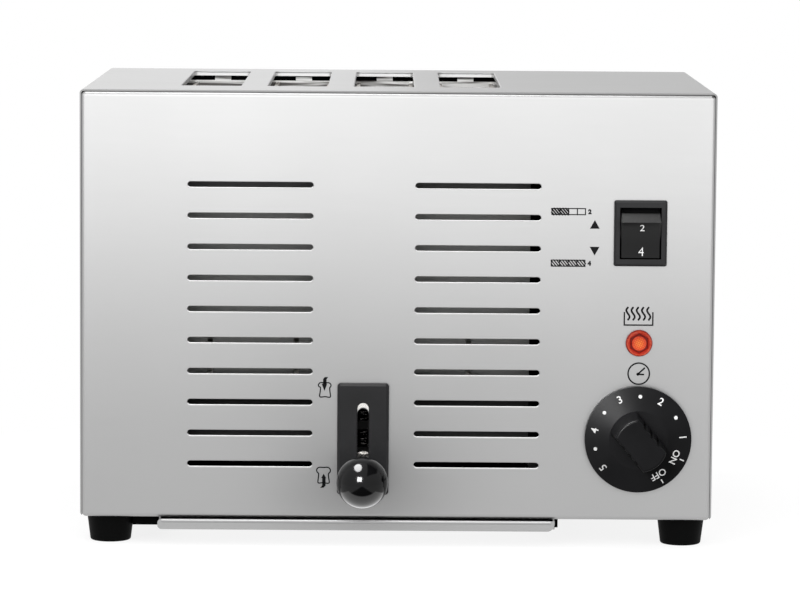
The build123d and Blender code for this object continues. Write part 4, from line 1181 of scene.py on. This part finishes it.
class TOASTER_OT_studio(bpy.types.Operator):
    """Set up the floor, the light and the camera"""

    bl_idname = "toaster.studio"
    bl_label = "Studio"

    def execute(self, context):
        """Floor, dark cards, lamps and camera, shown in plain colours."""
        studio = context.scene.toaster_studio
        self.floor(studio)
        self.cards()
        self.light(context.scene, studio)
        self.camera(context.scene, studio)
        context.scene.view_settings.view_transform = "Standard"
        return {"FINISHED"}

    def staged(self, name, points, faces, material):
        """A thing of the studio, made from points and faces, which isn't part of the toaster."""
        mesh = bpy.data.meshes.new(name)
        mesh.from_pydata(points, [], faces)
        mesh.materials.append(material)
        thing = bpy.data.objects.new(name, mesh)
        bpy.context.scene.collection.objects.link(thing)
        return thing

    def seen(self, tree):
        """One for rays from the camera, from gloss and through glass, and none for the rest."""
        path = tree.nodes.new("ShaderNodeLightPath").outputs
        first = math_node(tree, "MAXIMUM", path["Is Camera Ray"], path["Is Glossy Ray"])
        return math_node(tree, "MAXIMUM", first, path["Is Transmission Ray"])

    def floor(self, studio):
        """A flat disc of rings round the origin: its middle faces up, and the rings round it face down."""
        rings, sides = 8, 64
        radius = np.linspace(0.0, studio.floor, rings + 1)[1:, None]
        turn = np.linspace(0.0, FULL_TURN, sides, endpoint=False)[None, :]
        flat = np.stack([radius * np.cos(turn), radius * np.sin(turn), 0 * radius * turn], -1).reshape(-1, 3)
        faces = grid_faces(rings, sides, True) + [list(range(sides))]
        self.staged("floor", flat, faces, self.paper(studio))

    def paper(self, studio):
        """Pale paper that takes shadows and looks white, clear from behind and where it fades far away."""
        material = bpy.data.materials.new("floor")
        material.use_nodes = True
        tree = material.node_tree
        tree.nodes.clear()
        matt = tree.nodes.new("ShaderNodeBsdfDiffuse")
        matt.inputs["Color"].default_value = (0.2, 0.2, 0.2, 1)
        white = tree.nodes.new("ShaderNodeEmission")
        tree.links.new(math_node(tree, "MULTIPLY", self.seen(tree), 0.84), white.inputs["Strength"])
        both = tree.nodes.new("ShaderNodeAddShader")
        tree.links.new(matt.outputs[0], both.inputs[0])
        tree.links.new(white.outputs[0], both.inputs[1])
        clear = tree.nodes.new("ShaderNodeBsdfTransparent")
        away = tree.nodes.new("ShaderNodeVectorMath")
        away.operation = "LENGTH"
        tree.links.new(tree.nodes.new("ShaderNodeTexCoord").outputs["Object"], away.inputs[0])
        fade = spread(tree, away.outputs["Value"], 0.35 * studio.floor, 0.95 * studio.floor)
        behind = tree.nodes.new("ShaderNodeNewGeometry").outputs["Backfacing"]
        shown = tree.nodes.new("ShaderNodeMixShader")
        tree.links.new(math_node(tree, "MAXIMUM", fade, behind), shown.inputs[0])
        tree.links.new(both.outputs[0], shown.inputs[1])
        tree.links.new(clear.outputs[0], shown.inputs[2])
        out = tree.nodes.new("ShaderNodeOutputMaterial")
        tree.links.new(shown.outputs[0], out.inputs["Surface"])
        return material

    def cards(self):
        """Dark cards that only gloss sees: one on the floor before the ball, one overhead to its right."""
        black = moulded_finish("dark card", (0.001, 0.001, 0.001), rough=0.9, scale=400.0, level=0.0)
        low = [(-0.045, -0.033), (-0.02, -0.25), (0.02, -0.25), (0.045, -0.033)]
        high = [(0.16, 0.7), (0.75, 1.3), (1.54, -0.09), (0.6, -1.34)]
        for name, plan, height in (("dark_card", low, 0.5 * MM), ("dark_flag", high, BALL.z + 1.0)):
            corners = np.column_stack([np.array(plan) + (BALL.x, BALL.y), np.full(4, height)])
            card = self.staged(name, corners, [[0, 1, 2, 3]], black)
            card.visible_camera = False
            card.visible_diffuse = False
            card.visible_shadow = False
            card.visible_transmission = False

    def light(self, scene, studio):
        """An even pale room that looks white, four soft boxes round the toaster and three for the knobs."""
        world = bpy.data.worlds.new("room")
        scene.world = world
        world.use_nodes = True
        tree = world.node_tree
        tree.nodes.clear()
        room = tree.nodes.new("ShaderNodeBackground")
        room.inputs["Color"].default_value = (1, 1, 1, 1)
        tree.links.new(spread(tree, self.seen(tree), 0.0, 1.0, studio.sky, 1.0), room.inputs["Strength"])
        out = tree.nodes.new("ShaderNodeOutputWorld")
        tree.links.new(room.outputs[0], out.inputs["Surface"])
        under = (BALL.x, BALL.y + 1.5 * MM, 2 * MM)
        front, _, top, small, square, disc, floor = (self.box_light(scene, *lamp) for lamp in (
            ("front box", studio.key, (1.2, 0.4), (0.0, -0.35, 0.3), (73, 0, 0)),
            ("back box", studio.back, (1.2, 0.4), (-0.6, 0.95, 0.5), (-75, 0, 0)),
            ("top box", studio.top, (0.6, 0.22), (-0.1, -0.12, 1.2), (0, 0, 0)),
            ("small box", studio.spark, (0.06, 0.06), (-0.14, -0.72, 0.39), (62, 0, -10)),
            ("knob box", studio.knobs, (0.24, 0.24), (-0.153, -0.755, 0.311), (69, 0, -12)),
            ("knob disc", 1.7 * studio.knobs, (0.38, 0.6), (-0.224, -0.243, 0.8), (11, -16, 0)),
            ("knob floor", 0.005 * studio.knobs, (0.13, 0.073), under, (180, 0, 0)),
        ))
        disc.data.shape = "ELLIPSE"
        knobs = ("lever_knob", "timer_knob")
        self.share(("lever_knob",), "INCLUDE", floor)
        self.share(knobs, "INCLUDE", square, disc)
        self.share(knobs, "EXCLUDE", top, small)
        self.share((*knobs, "rocker_button", "casing"), "EXCLUDE", front)

    def share(self, nodes, state, *lamps):
        """Let lamps reach some nodes alone, or all but those."""
        lit = bpy.data.collections.new(f"knobs {state.lower()}")
        for node in nodes:
            lit.objects.link(frame["nodes"][node])
        for place in lit.collection_objects:
            place.light_linking.link_state = state
        for lamp in lamps:
            lamp.light_linking.receiver_collection = lit

    def box_light(self, scene, name, power, size, place, turn):
        """A soft box that the camera doesn't see, turned by degrees about X, Y and Z."""
        lamp = bpy.data.lights.new(name, "AREA")
        lamp.shape = "RECTANGLE"
        lamp.size, lamp.size_y = size
        lamp.energy = power
        box = bpy.data.objects.new(name, lamp)
        scene.collection.objects.link(box)
        box.location = place
        box.rotation_euler = [math.radians(angle) for angle in turn]
        box.visible_camera = False
        return box

    def camera(self, scene, studio):
        """A long lens in front of the toaster, a little above it, looking slightly down."""
        data = bpy.data.cameras.new("camera")
        data.lens = studio.lens
        data.sensor_width = 36.0
        data.clip_start, data.clip_end = 0.05, 100.0
        camera = bpy.data.objects.new("camera", data)
        scene.collection.objects.link(camera)
        tilt, pan, roll = math.radians(6.152), math.radians(0.154), math.radians(0.42)
        ahead = np.array([math.sin(pan) * math.cos(tilt), math.cos(pan) * math.cos(tilt), -math.sin(tilt)])
        level = np.array([math.cos(pan), -math.sin(pan), 0.0])
        raised = np.cross(level, ahead)
        right = math.cos(roll) * level + math.sin(roll) * raised
        up = math.cos(roll) * raised - math.sin(roll) * level
        place = np.eye(4)
        place[:3, 0], place[:3, 1], place[:3, 2] = right, up, -ahead
        place[:3, 3] = (-0.0039, -2.0352, 0.3346)
        camera.matrix_world = Matrix(place.tolist())
        scene.camera = camera


class TOASTER_PT_pieces(bpy.types.Panel):
    """List the toaster's pieces in the sidebar"""

    bl_label = "Toaster"
    bl_idname = "TOASTER_PT_pieces"
    bl_space_type = "VIEW_3D"
    bl_region_type = "UI"
    bl_category = "Toaster"

    def draw(self, context):
        """The values of each group, and a button for each operator."""
        for settings in GROUPS:
            column = self.layout.column()
            held = getattr(context.scene, settings)
            for name in held.__annotations__:
                column.prop(held, name)
        for operator in OPERATORS:
            self.layout.operator(operator.bl_idname)


GROUPS = {
    "toaster_finish": ToasterFinish,
    "toaster_print": ToasterPrint,
    "toaster_lever": ToasterLever,
    "toaster_studio": ToasterStudio,
}
OPERATORS = (
    TOASTER_OT_studio,
    TOASTER_OT_casing,
    TOASTER_OT_vent_rims,
    TOASTER_OT_chamber,
    TOASTER_OT_works,
    TOASTER_OT_mouldings,
    TOASTER_OT_lever_rod,
    TOASTER_OT_spring,
    TOASTER_OT_lamp,
    TOASTER_OT_signs,
    TOASTER_OT_dial_marks,
    TOASTER_OT_switch_marks,
)


def register():
    """Register the groups of values, the operators and the panel."""
    for settings, kind in GROUPS.items():
        bpy.utils.register_class(kind)
        setattr(bpy.types.Scene, settings, PointerProperty(type=kind))
    for kind in (*OPERATORS, TOASTER_PT_pieces):
        bpy.utils.register_class(kind)


def unregister():
    """Take away what register added."""
    for kind in (TOASTER_PT_pieces, *reversed(OPERATORS)):
        bpy.utils.unregister_class(kind)
    for settings, kind in GROUPS.items():
        delattr(bpy.types.Scene, settings)
        bpy.utils.unregister_class(kind)


def main():
    """Register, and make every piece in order."""
    register()
    bpy.ops.toaster.studio()
    bpy.ops.toaster.casing()
    bpy.ops.toaster.vent_rims()
    bpy.ops.toaster.chamber()
    bpy.ops.toaster.works()
    bpy.ops.toaster.mouldings()
    bpy.ops.toaster.lever_rod()
    bpy.ops.toaster.spring()
    bpy.ops.toaster.lamp()
    bpy.ops.toaster.signs()
    bpy.ops.toaster.dial_marks()
    bpy.ops.toaster.switch_marks()


if __name__ == "__main__":
    main()
